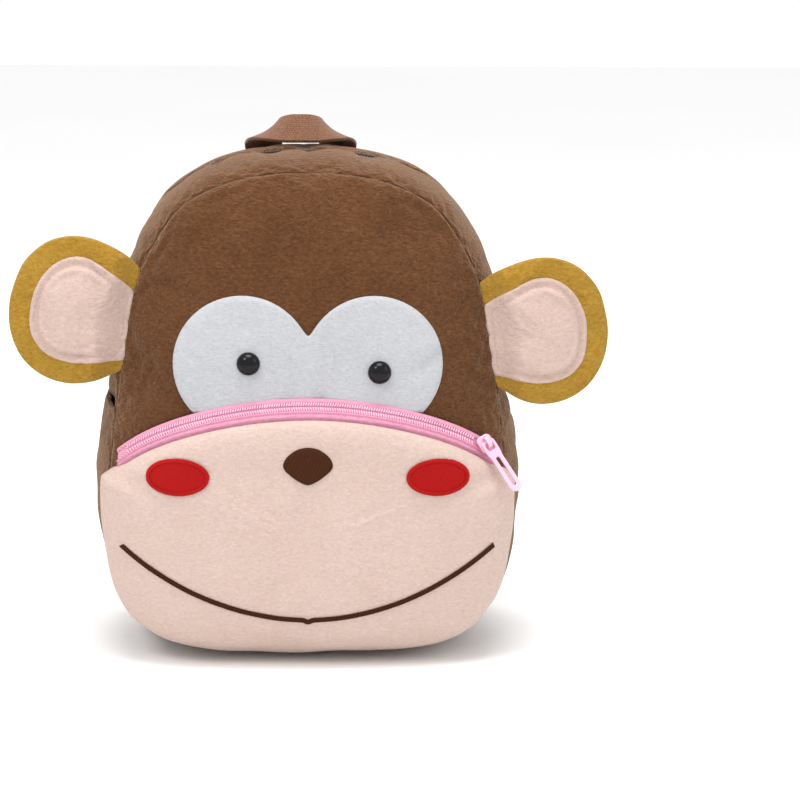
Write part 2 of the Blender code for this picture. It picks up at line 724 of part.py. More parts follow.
def make_pull():
    """Loop-shaped pull: its upper bar passes under the slider's bridge and is the hinge pin."""
    frame = slider_frame()
    lift = SLIDER_BODY / 2 + PULL_BAR / 2 + 2 * GAP
    frame = frame @ Matrix.Translation((0.0, 0.0, lift))
    start = -PULL_BAR / 2
    head = PULL_WIDTH / 2
    tip = PULL_TIP_WIDTH / 2
    outline = [(start, -head * 0.8), (start + 0.001, -head), (0.0055, -head), (0.009, -tip)]
    turns = np.linspace(0.0, math.pi, 9)
    outline += [(PULL_LENGTH - tip + tip * math.sin(a), -tip * math.cos(a)) for a in turns]
    outline += [(0.009, tip), (0.0055, head), (start + 0.001, head), (start, head * 0.8)]
    ring = round_box(0.0042, PULL_WIDTH - 2 * PULL_BAR, 0.0008, (PULL_BAR / 2 + 0.0021, 0.0), 2)
    slot = round_box(PULL_LENGTH - 0.0125, 0.0022, 0.0010, (PULL_LENGTH / 2 + 0.0030, 0.0), 3)
    flat_outline("pocket_zip_pull", [outline, ring, slot], PULL_WALL, "pink_enamel", frame)


# Face

def lobe_reach(angle, centre, lobe_x):
    """Distance from the patch centre to one round lobe's edge, in one direction."""
    dx = lobe_x - centre[0]
    dz = LOBE_Z - centre[1]
    along = dx * math.cos(angle) + dz * math.sin(angle)
    off = dx * dx + dz * dz - along * along
    return max(0.001, along + math.sqrt(max(0.0, LOBE_RADIUS ** 2 - off)))


def make_eye_patch():
    centre = (0.001, 0.1505)
    outline = []
    for angle in np.linspace(0.0, 2 * math.pi, 37)[:-1]:
        lobes = [lobe_reach(angle, centre, x) for x in (-LOBE_X, LOBE_X)]
        reach = sum(r ** LOBE_BLEND for r in lobes) ** (1 / LOBE_BLEND)
        for trial in np.linspace(0.004, reach, 80):
            x = centre[0] + trial * math.cos(angle)
            if centre[1] + trial * math.sin(angle) < pocket_zip_z(x) + 2 * GAP:
                reach = trial
                break
        outline.append((centre[0] + reach * math.cos(angle), centre[1] + reach * math.sin(angle)))
    patch("eye_patch", outline, centre, front_panel_y, FACE_PATCH_WALL, "white_plush",
          (1.0, 0.86, 0.68, 0.46, 0.24))


def make_eye(side):
    """A domed bead with a flat back, turned from a profile."""
    x, z = EYE_CENTRES[side]
    step = 0.002
    slope_x = (front_panel_y(x + step, z) - front_panel_y(x - step, z)) / (2 * step)
    slope_z = (front_panel_y(x, z + step) - front_panel_y(x, z - step)) / (2 * step)
    outward = Vector((slope_x, -1.0, slope_z)).normalized()
    at = Vector((x, front_panel_y(x, z), z)) + outward * (PATCH_GAP + FACE_PATCH_WALL + 2 * GAP)
    radius = EYE_DIAMETER / 2
    profile = [(0.0, EYE_RISE)]
    profile += [(radius * math.sin(a), EYE_RISE * math.cos(a)) for a in np.linspace(0.35, 1.45, 5)]
    profile += [(radius * 0.985, 0.0), (0.0, 0.0)]
    mesh = bpy.data.meshes.new("eye_" + side)
    mesh.from_pydata([(r, 0.0, h) for r, h in profile], [(k, k + 1) for k in range(len(profile) - 1)], [])
    item = add_object("eye_" + side, mesh, "black_bead")
    item.matrix_world = face_frame(at, Vector((1.0, 0.0, 0.0)), outward)
    screw = item.modifiers.new("turn", "SCREW")
    screw.steps = 14
    screw.render_steps = 14
    screw.use_merge_vertices = True
    screw.merge_threshold = 0.00005
    screw.use_smooth_shade = True


def make_face():
    make_eye_patch()
    for side in ("left", "right"):
        make_eye(side)
    nose = scaled(NOSE_OUTLINE, NOSE_WIDTH / 2, NOSE_HEIGHT / 2, (0.0, NOSE_Z))
    nose = smooth_line(nose, 2, closed=True)[::-1]
    patch("nose", nose, (0.0, NOSE_Z), muzzle_y, NOSE_WALL, "dark_brown_thread", (1.0, 0.55))
    for side, sign in (("left", -1), ("right", 1)):
        turn = np.linspace(0.0, 2 * math.pi, 21)[:-1]
        oval = [(sign * CHEEK_X + CHEEK_WIDTH / 2 * math.cos(a), CHEEK_Z + CHEEK_HEIGHT / 2 * math.sin(a))
                for a in turn]
        patch("cheek_" + side, oval, (sign * CHEEK_X, CHEEK_Z), muzzle_y, CHEEK_WALL, "red_felt", (1.0, 0.5))
    make_smile()


def smile_z(x):
    return SMILE_Z + SMILE_RISE * (x / SMILE_HALF) ** 2


def make_smile():
    """Embroidered line: a narrow strip that follows the muzzle."""
    rows = []
    for x in np.linspace(-SMILE_HALF, SMILE_HALF, 41):
        slope = 2 * SMILE_RISE * x / SMILE_HALF ** 2
        across = np.array([-slope, 1.0]) / math.hypot(slope, 1.0) * SMILE_WIDTH / 2
        row = []
        for s in (1, -1):
            px = x + s * across[0]
            pz = smile_z(x) + s * across[1]
            row.append((px, muzzle_y(px, pz) - PATCH_GAP, pz))
        rows.append(row)
    sheet("smile", rows, SMILE_WALL, "dark_brown_thread", offset=1.0)


# Ears

def ear_point(side, out, up, lift):
    """A point of the ear from its shares of width and half height, lift in front of its middle plane."""
    sign = -1 if side == "left" else 1
    root_z, tilt = EAR_PLACES[side]
    lean = math.radians(tilt)
    a = out * EAR_WIDTH
    b = up * EAR_HEIGHT / 2
    x = a * math.cos(lean) - b * math.sin(lean)
    z = root_z + a * math.sin(lean) + b * math.cos(lean)
    root = seam_half_width(z) + 2 * GAP
    middle = seam_half_width(root_z) + 2 * GAP
    follow = max(0.0, 1.0 - out * 3.0)
    x = middle + x + follow * (root - middle + b * math.sin(lean))
    root_y = -(HALF_DEPTH + GAP / 2 + RIM_WALL / 2)
    forward = 0.5 - 0.5 * math.cos(min(1.0, out / EAR_ROOT_SHARE) * math.pi)
    return (sign * x, root_y + forward * (EAR_PLANE_Y - root_y) + EAR_SWEEP * out ** 2 - lift, z)


def make_ear(side):
    outline = smooth_line(EAR_OUTLINE, 2)
    root = [(0.0, y) for y in (-0.36, 0.0, 0.36)]
    loop = [tuple(p) for p in outline] + root
    centre = (0.47, 0.0)
    rows = []
    for reach, _ in EAR_RINGS:
        rows.append([ear_point(side, centre[0] + reach * (u - centre[0]), reach * v, 0.0) for u, v in loop])
    shares = [share for _, share in EAR_RINGS]
    pole = ear_point(side, *centre, 0.0)
    origin = ear_point(side, 0.0, 0.0, 0.0)
    sheet("ear_" + side, rows, EAR_THICKNESS, "yellow_plush", origin, closed=True, pole=pole, offset=0.0,
          shares=shares)


def ear_front_lift(u, v):
    """Half thickness of the ear at a place on it."""
    loop = np.array([tuple(p) for p in smooth_line(EAR_OUTLINE, 2)] + [(0.0, y) for y in (-0.36, 0.0, 0.36)])
    centre = (0.47, 0.0)
    angles, radii = polar_radius(loop[::-1], centre)
    share = math.hypot(u - centre[0], v) / np.interp(math.atan2(v, u - centre[0]), angles, radii)
    reach, thick = zip(*reversed(EAR_RINGS))
    return EAR_THICKNESS / 2 * np.interp(share, (0.0,) + reach, (1.0,) + thick)


def make_ear_patch(side):
    outline = smooth_line(EAR_PATCH_OUTLINE, 2)
    loop = [tuple(p) for p in outline] + [(0.10, -0.16), (0.10, 0.16)]
    centre = (0.42, 0.0)
    rows = []
    for reach in (1.0, 0.72, 0.40):
        row = []
        for u, v in loop:
            a = centre[0] + reach * (u - centre[0])
            b = reach * v
            row.append(ear_point(side, a, b, ear_front_lift(a, b) + EAR_PATCH_GAP))
        rows.append(row)
    pole = ear_point(side, *centre, ear_front_lift(*centre) + EAR_PATCH_GAP)
    sheet("ear_patch_" + side, rows, EAR_PATCH_WALL, "pale_pink_plush", pole, closed=True, pole=pole,
          flip=side == "right", offset=1.0, shares=[0.5, 1.0, 1.0])


# Handle, straps and buckles

def make_handle():
    """A webbing loop: its legs rise from the top seam and its top is folded over towards the front."""
    leg_y = HALF_DEPTH + GAP / 2 + HANDLE_WALL / 2
    right = []
    for section in smooth_line(HANDLE_EDGES, 3):
        right.append([section[:3] + s * (section[3:] - section[:3]) for s in np.linspace(0.0, 1.0, 4)])
    left = [[(-x, y, z) for x, y, z in row] for row in right[:0:-1]]
    rows = [[(HANDLE_X + x, y, z) for x, y, z in row] for row in left + right]
    for end in (0, -1):
        foot = [(x, leg_y, seam_top_z(x) + 2 * GAP) for x, _, _ in rows[end]]
        rows[end] = [(x, y, z + 0.0022) for x, y, z in foot]
        rows.insert(0 if end == 0 else len(rows), foot)
    sheet("handle", rows, HANDLE_WALL, "brown_webbing", offset=0.0)


def strap_sections():
    """Middle line of the right strap with the across and outward directions at each section."""
    line = smooth_line(STRAP_ROUTE, 2)
    sections = []
    for k, point in enumerate(line):
        before = line[max(0, k - 1)]
        after = line[min(len(line) - 1, k + 1)]
        along = Vector(after - before).normalized()
        outward = along.cross(Vector((1.0, 0.0, 0.0))).normalized()
        across = outward.cross(along).normalized()
        if across.x < 0:
            across = -across
        sections.append((Vector(point), across))
    return sections


def make_strap(side):
    """A padded strap from the top seam to its narrow lower end."""
    sign = -1 if side == "left" else 1
    sections = strap_sections()
    count = len(sections)
    root_y = HALF_DEPTH + GAP / 2 + RIM_WALL + GAP
    rows = []
    shares = []
    for k, (point, across) in enumerate(sections):
        taper = WEBBING * 1.06 if k == count - 1 else STRAP_WIDTH * (0.93 if k == count - 2 else 1.0)
        swell = {0: 0.22, 1: 0.55, 2: 0.85, count - 2: 0.8, count - 1: 0.24}.get(k, 1.0)
        row = []
        row_shares = []
        for column, share in STRAP_COLUMNS:
            x, y, z = point + across * column * taper / 2
            if k == 0:
                z = seam_top_z(x) - 0.0022
                y = root_y + 0.003
            if k == count - 1:
                x, y, z = point + Vector((1.0, 0.0, 0.0)) * column * taper / 2
            row.append((sign * x, y, z))
            row_shares.append(max(STRAP_EDGE / STRAP_THICKNESS * 0.8, share * swell))
        rows.append(row)
        shares.append(row_shares)
    lip = [(x, root_y, z) for x, _, z in rows[0]]
    rows.insert(0, lip)
    shares.insert(0, shares[0])
    end = rows[-1]
    rows.append([(x, y, z - 0.0015) for x, y, z in end])
    shares.append(shares[-1])
    sheet("strap_" + side, rows, STRAP_THICKNESS, "yellow_plush", offset=0.0, shares=shares)


def webbing_strip(name, path, centre_x, width):
    """Webbing that follows a path in y and z, level across."""
    rows = [[(centre_x + s * width / 2, float(y), float(z)) for s in (-1, 1)] for y, z in path]
    sheet(name, rows, WEBBING_WALL, "brown_webbing", offset=0.0)


def buckle_levels():
    """Lower edge of each bar and slot, from the top bar down, in the buckle's own z."""
    bars = BUCKLE_BAR
    slots = BUCKLE_SLOT
    total = 3 * bars + 3 * slots + BUCKLE_TONGUE
    top = total / 2
    levels = {"height": total}
    edge = top
    for number in (1, 2, 3):
        levels["bar_%d" % number] = (edge, edge - bars)
        edge -= bars
        levels["slot_%d" % number] = (edge, edge - slots)
        edge -= slots
    return levels


def make_buckle(side):
    sign = -1 if side == "left" else 1
    levels = buckle_levels()
    outline = round_box(BUCKLE_WIDTH, levels["height"], 0.004)
    loops = [outline]
    for number in (1, 2, 3):
        top, low = levels["slot_%d" % number]
        loops.append(round_box(SLOT_WIDTH, top - low, 0.0006, (0.0, (top + low) / 2), 1))
    upright = Matrix.Translation((sign * BUCKLE_X, BUCKLE_Y, BUCKLE_Z)) @ Matrix.Rotation(math.pi / 2, 4, "X")
    flat_outline("buckle_" + side, loops, BUCKLE_WALL, "dark_plastic", upright)
    make_webbing(side, sign, levels)


def make_webbing(side, sign, levels):
    """The fixed loop on the second bar and the adjustable webbing round the third."""
    off = BUCKLE_WALL / 2 + GAP + WEBBING_WALL / 2
    inner = BUCKLE_Y - off
    outer = BUCKLE_Y + off
    second = inner - WEBBING_WALL - GAP
    clear = GAP + WEBBING_WALL / 2
    strap_end = STRAP_ROUTE[-1][2] - 0.0015 - GAP
    strap_y = STRAP_ROUTE[-1][1]
    spread = (WEBBING_WALL + GAP) / 2
    over_two = BUCKLE_Z + levels["bar_2"][0] + clear
    under_two = BUCKLE_Z + levels["bar_2"][1] - clear
    upper = [
        (strap_y + spread, strap_end), (strap_y + spread, strap_end - 0.0010), (inner, strap_end - 0.0055),
        (inner, over_two), (outer, over_two), (outer, under_two), (second, under_two),
        (second, strap_end - 0.0055), (strap_y - spread, strap_end - 0.0010), (strap_y - spread, strap_end),
    ]
    webbing_strip("web_upper_" + side, rounded_path(upper, 0.0009, 2), sign * BUCKLE_X, WEBBING)
    over_three = BUCKLE_Z + levels["bar_3"][0] + clear
    under_three = BUCKLE_Z + levels["bar_3"][1] - clear
    foot = BUCKLE_Z - levels["height"] / 2
    floor = WEBBING_WALL / 2
    root_y = HALF_DEPTH + GAP / 2 + RIM_WALL + GAP
    lower = [
        (root_y, 0.0092), (root_y + 0.006, 0.0092), (root_y + 0.016, floor), (BUCKLE_Y + 0.0195, floor),
        (BUCKLE_Y + 0.0200, floor + 0.0035), (inner, foot - 0.002), (inner, under_three),
        (outer, under_three), (outer, over_three), (second, over_three), (second, foot + 0.001),
    ]
    webbing_strip("web_lower_" + side, rounded_path(lower, 0.0009, 2), sign * BUCKLE_X, WEBBING)


# Build

PARTS = None
TOOLS = None
SEAM = seam_line()
SEAM_POLAR = polar_radius(SEAM[:-1], (0.0, PANEL_CENTRE_Z))
MUZZLE_LINE = muzzle_line()


def muzzle_polar():
    line, weights, depths = MUZZLE_LINE
    angles, radii = polar_radius(line[:-1], (0.0, MUZZLE_CENTRE_Z))
    return angles, radii, np.tile(weights[:-1], 3), np.tile(depths[:-1], 3)


MUZZLE_POLAR = muzzle_polar()


def main():
    global PARTS, TOOLS
    clear_scene()
    PARTS = new_collection("plush_monkey_backpack")
    TOOLS = new_collection("cutters")
    make_body()
    make_muzzle()
    make_pocket_zip()
    make_slider()
    make_pull()
    make_face()
    make_handle()
    for side in ("left", "right"):
        make_ear(side)
        make_ear_patch(side)
        make_strap(side)
        make_buckle(side)


main()
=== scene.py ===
import math

import bpy
import numpy as np
from mathutils import Matrix, Vector, noise
from mathutils.bvhtree import BVHTree


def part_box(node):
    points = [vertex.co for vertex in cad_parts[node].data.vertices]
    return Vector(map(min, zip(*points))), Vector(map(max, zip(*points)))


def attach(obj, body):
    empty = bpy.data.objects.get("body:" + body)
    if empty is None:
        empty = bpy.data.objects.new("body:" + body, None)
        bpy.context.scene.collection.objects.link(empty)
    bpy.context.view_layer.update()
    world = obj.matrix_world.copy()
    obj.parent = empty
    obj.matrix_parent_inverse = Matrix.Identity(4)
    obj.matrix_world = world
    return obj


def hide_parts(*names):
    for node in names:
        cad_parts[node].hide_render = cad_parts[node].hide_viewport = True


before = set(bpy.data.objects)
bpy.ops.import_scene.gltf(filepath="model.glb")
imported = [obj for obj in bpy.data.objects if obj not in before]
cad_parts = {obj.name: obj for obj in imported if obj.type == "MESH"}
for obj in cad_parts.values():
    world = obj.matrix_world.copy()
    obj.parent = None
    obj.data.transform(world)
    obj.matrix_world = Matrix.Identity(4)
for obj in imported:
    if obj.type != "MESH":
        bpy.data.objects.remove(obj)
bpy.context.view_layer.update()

# Sizes that the frame's source names too, in metres
SEAM_WIDTH = 0.210
SEAM_HEIGHT = 0.250
SEAM_BASE_Z = 0.007
HALF_DEPTH = 0.042
GAP = 0.0003
FRONT_DOME = 0.019
BACK_DOME = 0.009
PANEL_CENTRE_Z = 0.122
GUSSET_BULGE = 0.0075
BASE_BULGE = 0.0095
GUSSET_JOINT_Z = 0.133
MAIN_ZIP_Y = 0.005
MAIN_ZIP_WIDTH = 0.011
MUZZLE_Y = -0.081
MUZZLE_CENTRE_Z = 0.066
MUZZLE_OVERHANG = 0.0055
POCKET_ZIP_TOP_Z = 0.143
POCKET_ZIP_HALF = 0.102
POCKET_ZIP_SAG = 0.025
POCKET_ZIP_END_DROP = 0.008
POCKET_ZIP_DROP = 0.0105
POCKET_ZIP_STEP = 0.0085
POCKET_ZIP_END_STEP = 0.0058
POCKET_ZIP_REACH = 0.935
SLIDER_X = 0.0905
SLIDER_LENGTH = 0.0095
SLIDER_WIDTH = 0.0082
SLIDER_BODY = 0.0028
SLIDER_LIFT = 0.0024
BRIDGE_LENGTH = 0.0064
BRIDGE_HEIGHT = 0.0042
BRIDGE_WIDTH = 0.0024
BRIDGE_WALL = 0.0011
PULL_LENGTH = 0.0300
PULL_WIDTH = 0.0078
PULL_TIP_WIDTH = 0.0066
PULL_WALL = 0.0016
PULL_BAR = 0.0016
PULL_DIRECTION = (0.56, -0.36, -0.82)
SLIDER_NORMAL = (0.22, -0.86, 0.46)
LOBE_RADIUS = 0.0362
LOBE_X = 0.0340
LOBE_Z = 0.1600
EYE_DIAMETER = 0.0122
EYE_CENTRES = {"left": (-0.0308, 0.1610), "right": (0.0370, 0.1565)}
NOSE_WIDTH = 0.0262
NOSE_HEIGHT = 0.0200
NOSE_Z = 0.1100
CHEEK_WIDTH = 0.0322
CHEEK_HEIGHT = 0.0182
CHEEK_X = 0.0670
CHEEK_Z = 0.1040
SMILE_HALF = 0.0970
SMILE_Z = 0.0280
SMILE_RISE = 0.0380
EAR_WIDTH = 0.0610
EAR_HEIGHT = 0.0770
EAR_THICKNESS = 0.0120
EAR_PLANE_Y = -0.0495
EAR_SWEEP = 0.0050
EAR_ROOT_SHARE = 0.24
EAR_PLACES = {"left": (0.1800, 13.0), "right": (0.1725, 6.0)}
WEBBING = 0.0250
WEBBING_WALL = 0.0014
HANDLE_X = -0.0040
HANDLE_WALL = 0.0018
STRAP_WIDTH = 0.0490
STRAP_THICKNESS = 0.0130
BUCKLE_WIDTH = 0.0325
BUCKLE_WALL = 0.0050
BUCKLE_X = 0.0470
BUCKLE_Y = 0.0840
BUCKLE_Z = 0.0330
BUCKLE_BAR = 0.0036
BUCKLE_SLOT = 0.0052
BUCKLE_TONGUE = 0.0125
SLOT_WIDTH = 0.0266
COIL_SHARE = 0.42

# Sizes that only the looks use
PLUSH_WALL = 0.0024
MUZZLE_PLUSH_WALL = 0.0026
PANEL_RIM_Y = HALF_DEPTH + 0.0004
PANEL_COLUMNS = 240
MUZZLE_COLUMNS = 260
EAR_COLUMNS = 150
EAR_STITCH_SHARE = 0.86
ZIP_TOOTH_PITCH = 0.00125
MAIN_TOOTH_PITCH = 0.0016
SMILE_PITCH = 0.00050
CLOTH_FRAMES = 20
NAP_TILT = 0.35
FOCAL_PIXELS = 2857.0
PICTURE_PIXELS = 800.0
SENSOR_MM = 36.0

# Tables that the frame's source holds too
SEAM_OUTLINE = [
    (0.000, 0.000), (0.450, 0.003), (0.750, 0.035), (0.920, 0.115), (0.985, 0.230),
    (1.000, 0.330), (0.975, 0.430), (0.945, 0.540), (0.905, 0.660), (0.845, 0.775),
    (0.735, 0.870), (0.600, 0.938), (0.380, 0.982), (0.150, 0.999), (0.000, 1.000),
]
MUZZLE_SEAM_RINGS = [
    (0.982, 0.00, 0.00), (1.000, 0.00, 0.00), (1.000, 0.55, 0.06), (1.000, 0.92, 0.17),
    (1.000, 1.00, 0.31), (0.992, 0.75, 0.47), (0.960, 0.45, 0.63), (0.900, 0.15, 0.76),
    (0.800, 0.00, 0.87), (0.640, 0.00, 0.95), (0.400, 0.00, 0.99),
]
MUZZLE_ZIP_RINGS = [
    (0.985, 0.00, -0.10), (1.000, 0.00, 0.00), (1.004, 0.00, 0.10), (1.003, 0.00, 0.21),
    (0.996, 0.00, 0.33), (0.982, 0.00, 0.45), (0.955, 0.00, 0.58), (0.905, 0.00, 0.72),
    (0.810, 0.00, 0.86), (0.650, 0.00, 0.95), (0.400, 0.00, 0.99),
]
EAR_OUTLINE = [
    (0.00, 0.72), (0.18, 0.90), (0.38, 1.00), (0.60, 0.98), (0.80, 0.82), (0.95, 0.50), (1.00, 0.14),
    (1.00, -0.16), (0.94, -0.50), (0.80, -0.80), (0.60, -0.97), (0.38, -1.00), (0.18, -0.90), (0.00, -0.72),
]
EAR_PATCH_OUTLINE = [
    (-0.02, 0.40), (0.10, 0.52), (0.24, 0.64), (0.40, 0.73), (0.56, 0.71), (0.71, 0.53), (0.80, 0.22),
    (0.81, -0.10), (0.76, -0.42), (0.62, -0.63), (0.40, -0.68), (0.18, -0.62), (-0.02, -0.56),
]
NOSE_OUTLINE = [
    (0.00, 1.00), (0.35, 0.93), (0.62, 0.74), (0.87, 0.44), (0.99, 0.08), (0.92, -0.22), (0.68, -0.52),
    (0.36, -0.82), (0.00, -1.00), (-0.36, -0.82), (-0.68, -0.52), (-0.92, -0.22), (-0.99, 0.08), (-0.87, 0.44),
    (-0.62, 0.74), (-0.35, 0.93),
]
HANDLE_EDGES = [
    (0.0000, 0.0270, 0.2798, 0.0000, 0.0125, 0.2672), (0.0060, 0.0280, 0.2794, 0.0090, 0.0130, 0.2672),
    (0.0110, 0.0330, 0.2768, 0.0190, 0.0180, 0.2675), (0.0120, 0.0395, 0.2712, 0.0270, 0.0280, 0.2668),
    (0.0105, 0.0430, 0.2645, 0.0302, 0.0380, 0.2632), (0.0095, 0.0430, 0.2605, 0.0300, 0.0430, 0.2590),
]
STRAP_ROUTE = [
    (0.0250, 0.0480, 0.2525), (0.0255, 0.0580, 0.2510), (0.0275, 0.0680, 0.2380), (0.0310, 0.0760, 0.2120),
    (0.0360, 0.0830, 0.1750), (0.0415, 0.0865, 0.1350), (0.0450, 0.0865, 0.1000), (0.0470, 0.0820, 0.0610),
]
# Pocket zip across its face: share from the upper edge to the muzzle, height over the tape in millimetres
ZIP_PROFILE = [
    (0.00, 0.0), (0.04, 0.5), (0.13, 0.9), (0.21, 0.8), (0.25, 0.2), (0.42, 0.3), (0.60, 0.2),
    (0.64, 0.9), (0.70, 1.0), (0.75, 0.3), (0.82, 0.7), (0.92, 0.6), (1.00, -0.6), (1.10, -1.6),
]


# Node materials

def node(tree, kind, links=(), **settings):
    """Adds a node; links pairs an input with a socket or a value, settings are its properties."""
    made = tree.nodes.new(kind)
    for key, value in settings.items():
        setattr(made, key, value)
    for socket, value in links:
        if isinstance(value, bpy.types.NodeSocket):
            tree.links.new(value, made.inputs[socket])
        else:
            made.inputs[socket].default_value = value
    return made


def new_material(name, roughness, specular=0.5):
    made = bpy.data.materials.new(name)
    made.use_nodes = True
    tree = made.node_tree
    shader = tree.nodes["Principled BSDF"]
    shader.inputs["Roughness"].default_value = roughness
    shader.inputs["Specular IOR Level"].default_value = specular
    return made, tree, shader


def object_point(tree, stretch=(1.0, 1.0, 1.0), turn=(0.0, 0.0, 0.0)):
    place = node(tree, "ShaderNodeTexCoord").outputs["Object"]
    moved = node(tree, "ShaderNodeMapping", [("Vector", place), ("Scale", stretch), ("Rotation", turn)])
    return moved.outputs[0]


def grain(tree, place, scale, detail=2.0, distortion=0.0):
    settings = [("Vector", place), ("Scale", scale), ("Detail", detail), ("Distortion", distortion)]
    return node(tree, "ShaderNodeTexNoise", settings).outputs["Fac"]


def ramp(tree, factor, stops):
    made = node(tree, "ShaderNodeValToRGB", [("Fac", factor)])
    band = made.color_ramp
    while len(band.elements) < len(stops):
        band.elements.new(0.5)
    for element, (position, colour) in zip(band.elements, stops):
        element.position = position
        element.color = (*colour, 1.0)
    return made.outputs["Color"]


def maths(tree, operation, *values):
    """The result of a math node on sockets or numbers."""
    return node(tree, "ShaderNodeMath", list(enumerate(values)), operation=operation).outputs[0]


def sums(tree, *terms):
    """Weighted sum of sockets."""
    total = None
    for weight, socket in terms:
        part = maths(tree, "MULTIPLY", socket, weight)
        total = part if total is None else maths(tree, "ADD", total, part)
    return total


def dye(tree, shader, shade, stops, height, strength, distance, sheen=0.0):
    """Colour from a ramp over shade, bump from height, and a sheen."""
    tree.links.new(ramp(tree, shade, stops), shader.inputs["Base Color"])
    bump = node(tree, "ShaderNodeBump", [("Height", height), ("Strength", strength), ("Distance", distance)])
    tree.links.new(bump.outputs[0], shader.inputs["Normal"])
    shader.inputs["Sheen Weight"].default_value = sheen


def plush(name, dark, middle, light, sheen, sheen_tint, nap):
    """Short-nap plush: brushed patches, streaks of nap, fibre tips and a soft rim of light."""
    made, tree, shader = new_material(name, 0.95, 0.12)
    place = object_point(tree)
    brushed = grain(tree, place, 30.0, 2.0, 0.6)
    streaks = grain(tree, object_point(tree, (540.0, 540.0, 640.0), (0.25, NAP_TILT, 0.0)), 1.0, 2.0, 0.4)
    ripples = grain(tree, object_point(tree, (420.0, 420.0, 900.0), (0.0, -NAP_TILT, 0.2)), 1.0, 2.0, 0.7)
    tips = grain(tree, place, 2100.0, 1.0)
    shade = sums(tree, (0.16, brushed), (0.26, streaks), (0.38, ripples), (0.20, tips))
    height = sums(tree, (0.35, streaks), (0.55, ripples), (0.25, tips))
    dye(tree, shader, shade, [(0.36, dark), (0.50, middle), (0.64, light)], height, nap, 0.0024, sheen)
    shader.inputs["Sheen Roughness"].default_value = 0.45
    shader.inputs["Sheen Tint"].default_value = (*sheen_tint, 1.0)
    return made


def thread(name, dark, light, pitch, turn=0.0):
    """Satin stitch: parallel threads with a soft gloss."""
    made, tree, shader = new_material(name, 0.55, 0.12)
    place = object_point(tree, turn=(0.0, turn, 0.0))
    waves = node(tree, "ShaderNodeTexWave",
                 [("Vector", place), ("Scale", math.pi / 10 / pitch), ("Distortion", 1.2), ("Detail", 1.0),
                  ("Detail Scale", 30.0)], bands_direction="X").outputs["Fac"]
    shade = sums(tree, (0.65, waves), (0.35, grain(tree, place, 900.0)))
    dye(tree, shader, shade, [(0.2, dark), (0.8, light)], shade, 0.7, 0.0005)
    return made


def webbing_weave(name, dark, light):
    """Ribbed webbing with a herringbone of slanted picks, laid by the strip's own UV in metres."""
    rib = 0.0014
    pick = 0.0013
    made, tree, shader = new_material(name, 0.72, 0.3)
    uv = node(tree, "ShaderNodeUVMap", uv_map="weave").outputs["UV"]
    split = node(tree, "ShaderNodeSeparateXYZ", [("Vector", uv)])
    zigzag = maths(tree, "PINGPONG", split.outputs["X"], rib)
    slanted = maths(tree, "ADD", split.outputs["Y"], zigzag)
    picks = maths(tree, "SINE", maths(tree, "MULTIPLY", slanted, 2 * math.pi / pick))
    ribs = maths(tree, "COSINE", maths(tree, "MULTIPLY", split.outputs["X"], 2 * math.pi / rib))
    shade = sums(tree, (0.20, picks), (0.10, ribs), (0.9, grain(tree, object_point(tree), 1100.0)))
    dye(tree, shader, shade, [(0.2, dark), (0.75, light)], shade, 0.8, 0.0005, 0.2)
    return made


def woven_tape(name, dark, light):
    """Fine plain weave of zip tape."""
    made, tree, shader = new_material(name, 0.6, 0.15)
    place = object_point(tree)
    rows = node(tree, "ShaderNodeTexWave", [("Vector", place), ("Scale", 420.0), ("Distortion", 0.6)],
                bands_direction="DIAGONAL").outputs["Fac"]
    shade = sums(tree, (0.5, rows), (0.5, grain(tree, place, 700.0)))
    dye(tree, shader, shade, [(0.25, dark), (0.75, light)], shade, 0.35, 0.0003, 0.2)
    return made


def moulded(name, dark, light, roughness, coat=0.0, texture=900.0, strength=0.12, specular=0.5):
    """Moulded or enamelled part: faint mottling, fine surface grain and uneven gloss."""
    made, tree, shader = new_material(name, roughness, specular)
    place = object_point(tree)
    cloud = grain(tree, place, 60.0, 3.0)
    pores = grain(tree, place, texture)
    dye(tree, shader, sums(tree, (0.7, cloud), (0.3, pores)), [(0.35, dark), (0.65, light)], pores, strength, 0.0002)
    gloss = node(tree, "ShaderNodeMapRange",
                 [("Value", cloud), ("To Min", roughness * 0.85), ("To Max", roughness * 1.2)]).outputs[0]
    tree.links.new(gloss, shader.inputs["Roughness"])
    shader.inputs["Coat Weight"].default_value = coat
    shader.inputs["Coat Roughness"].default_value = 0.08
    return made


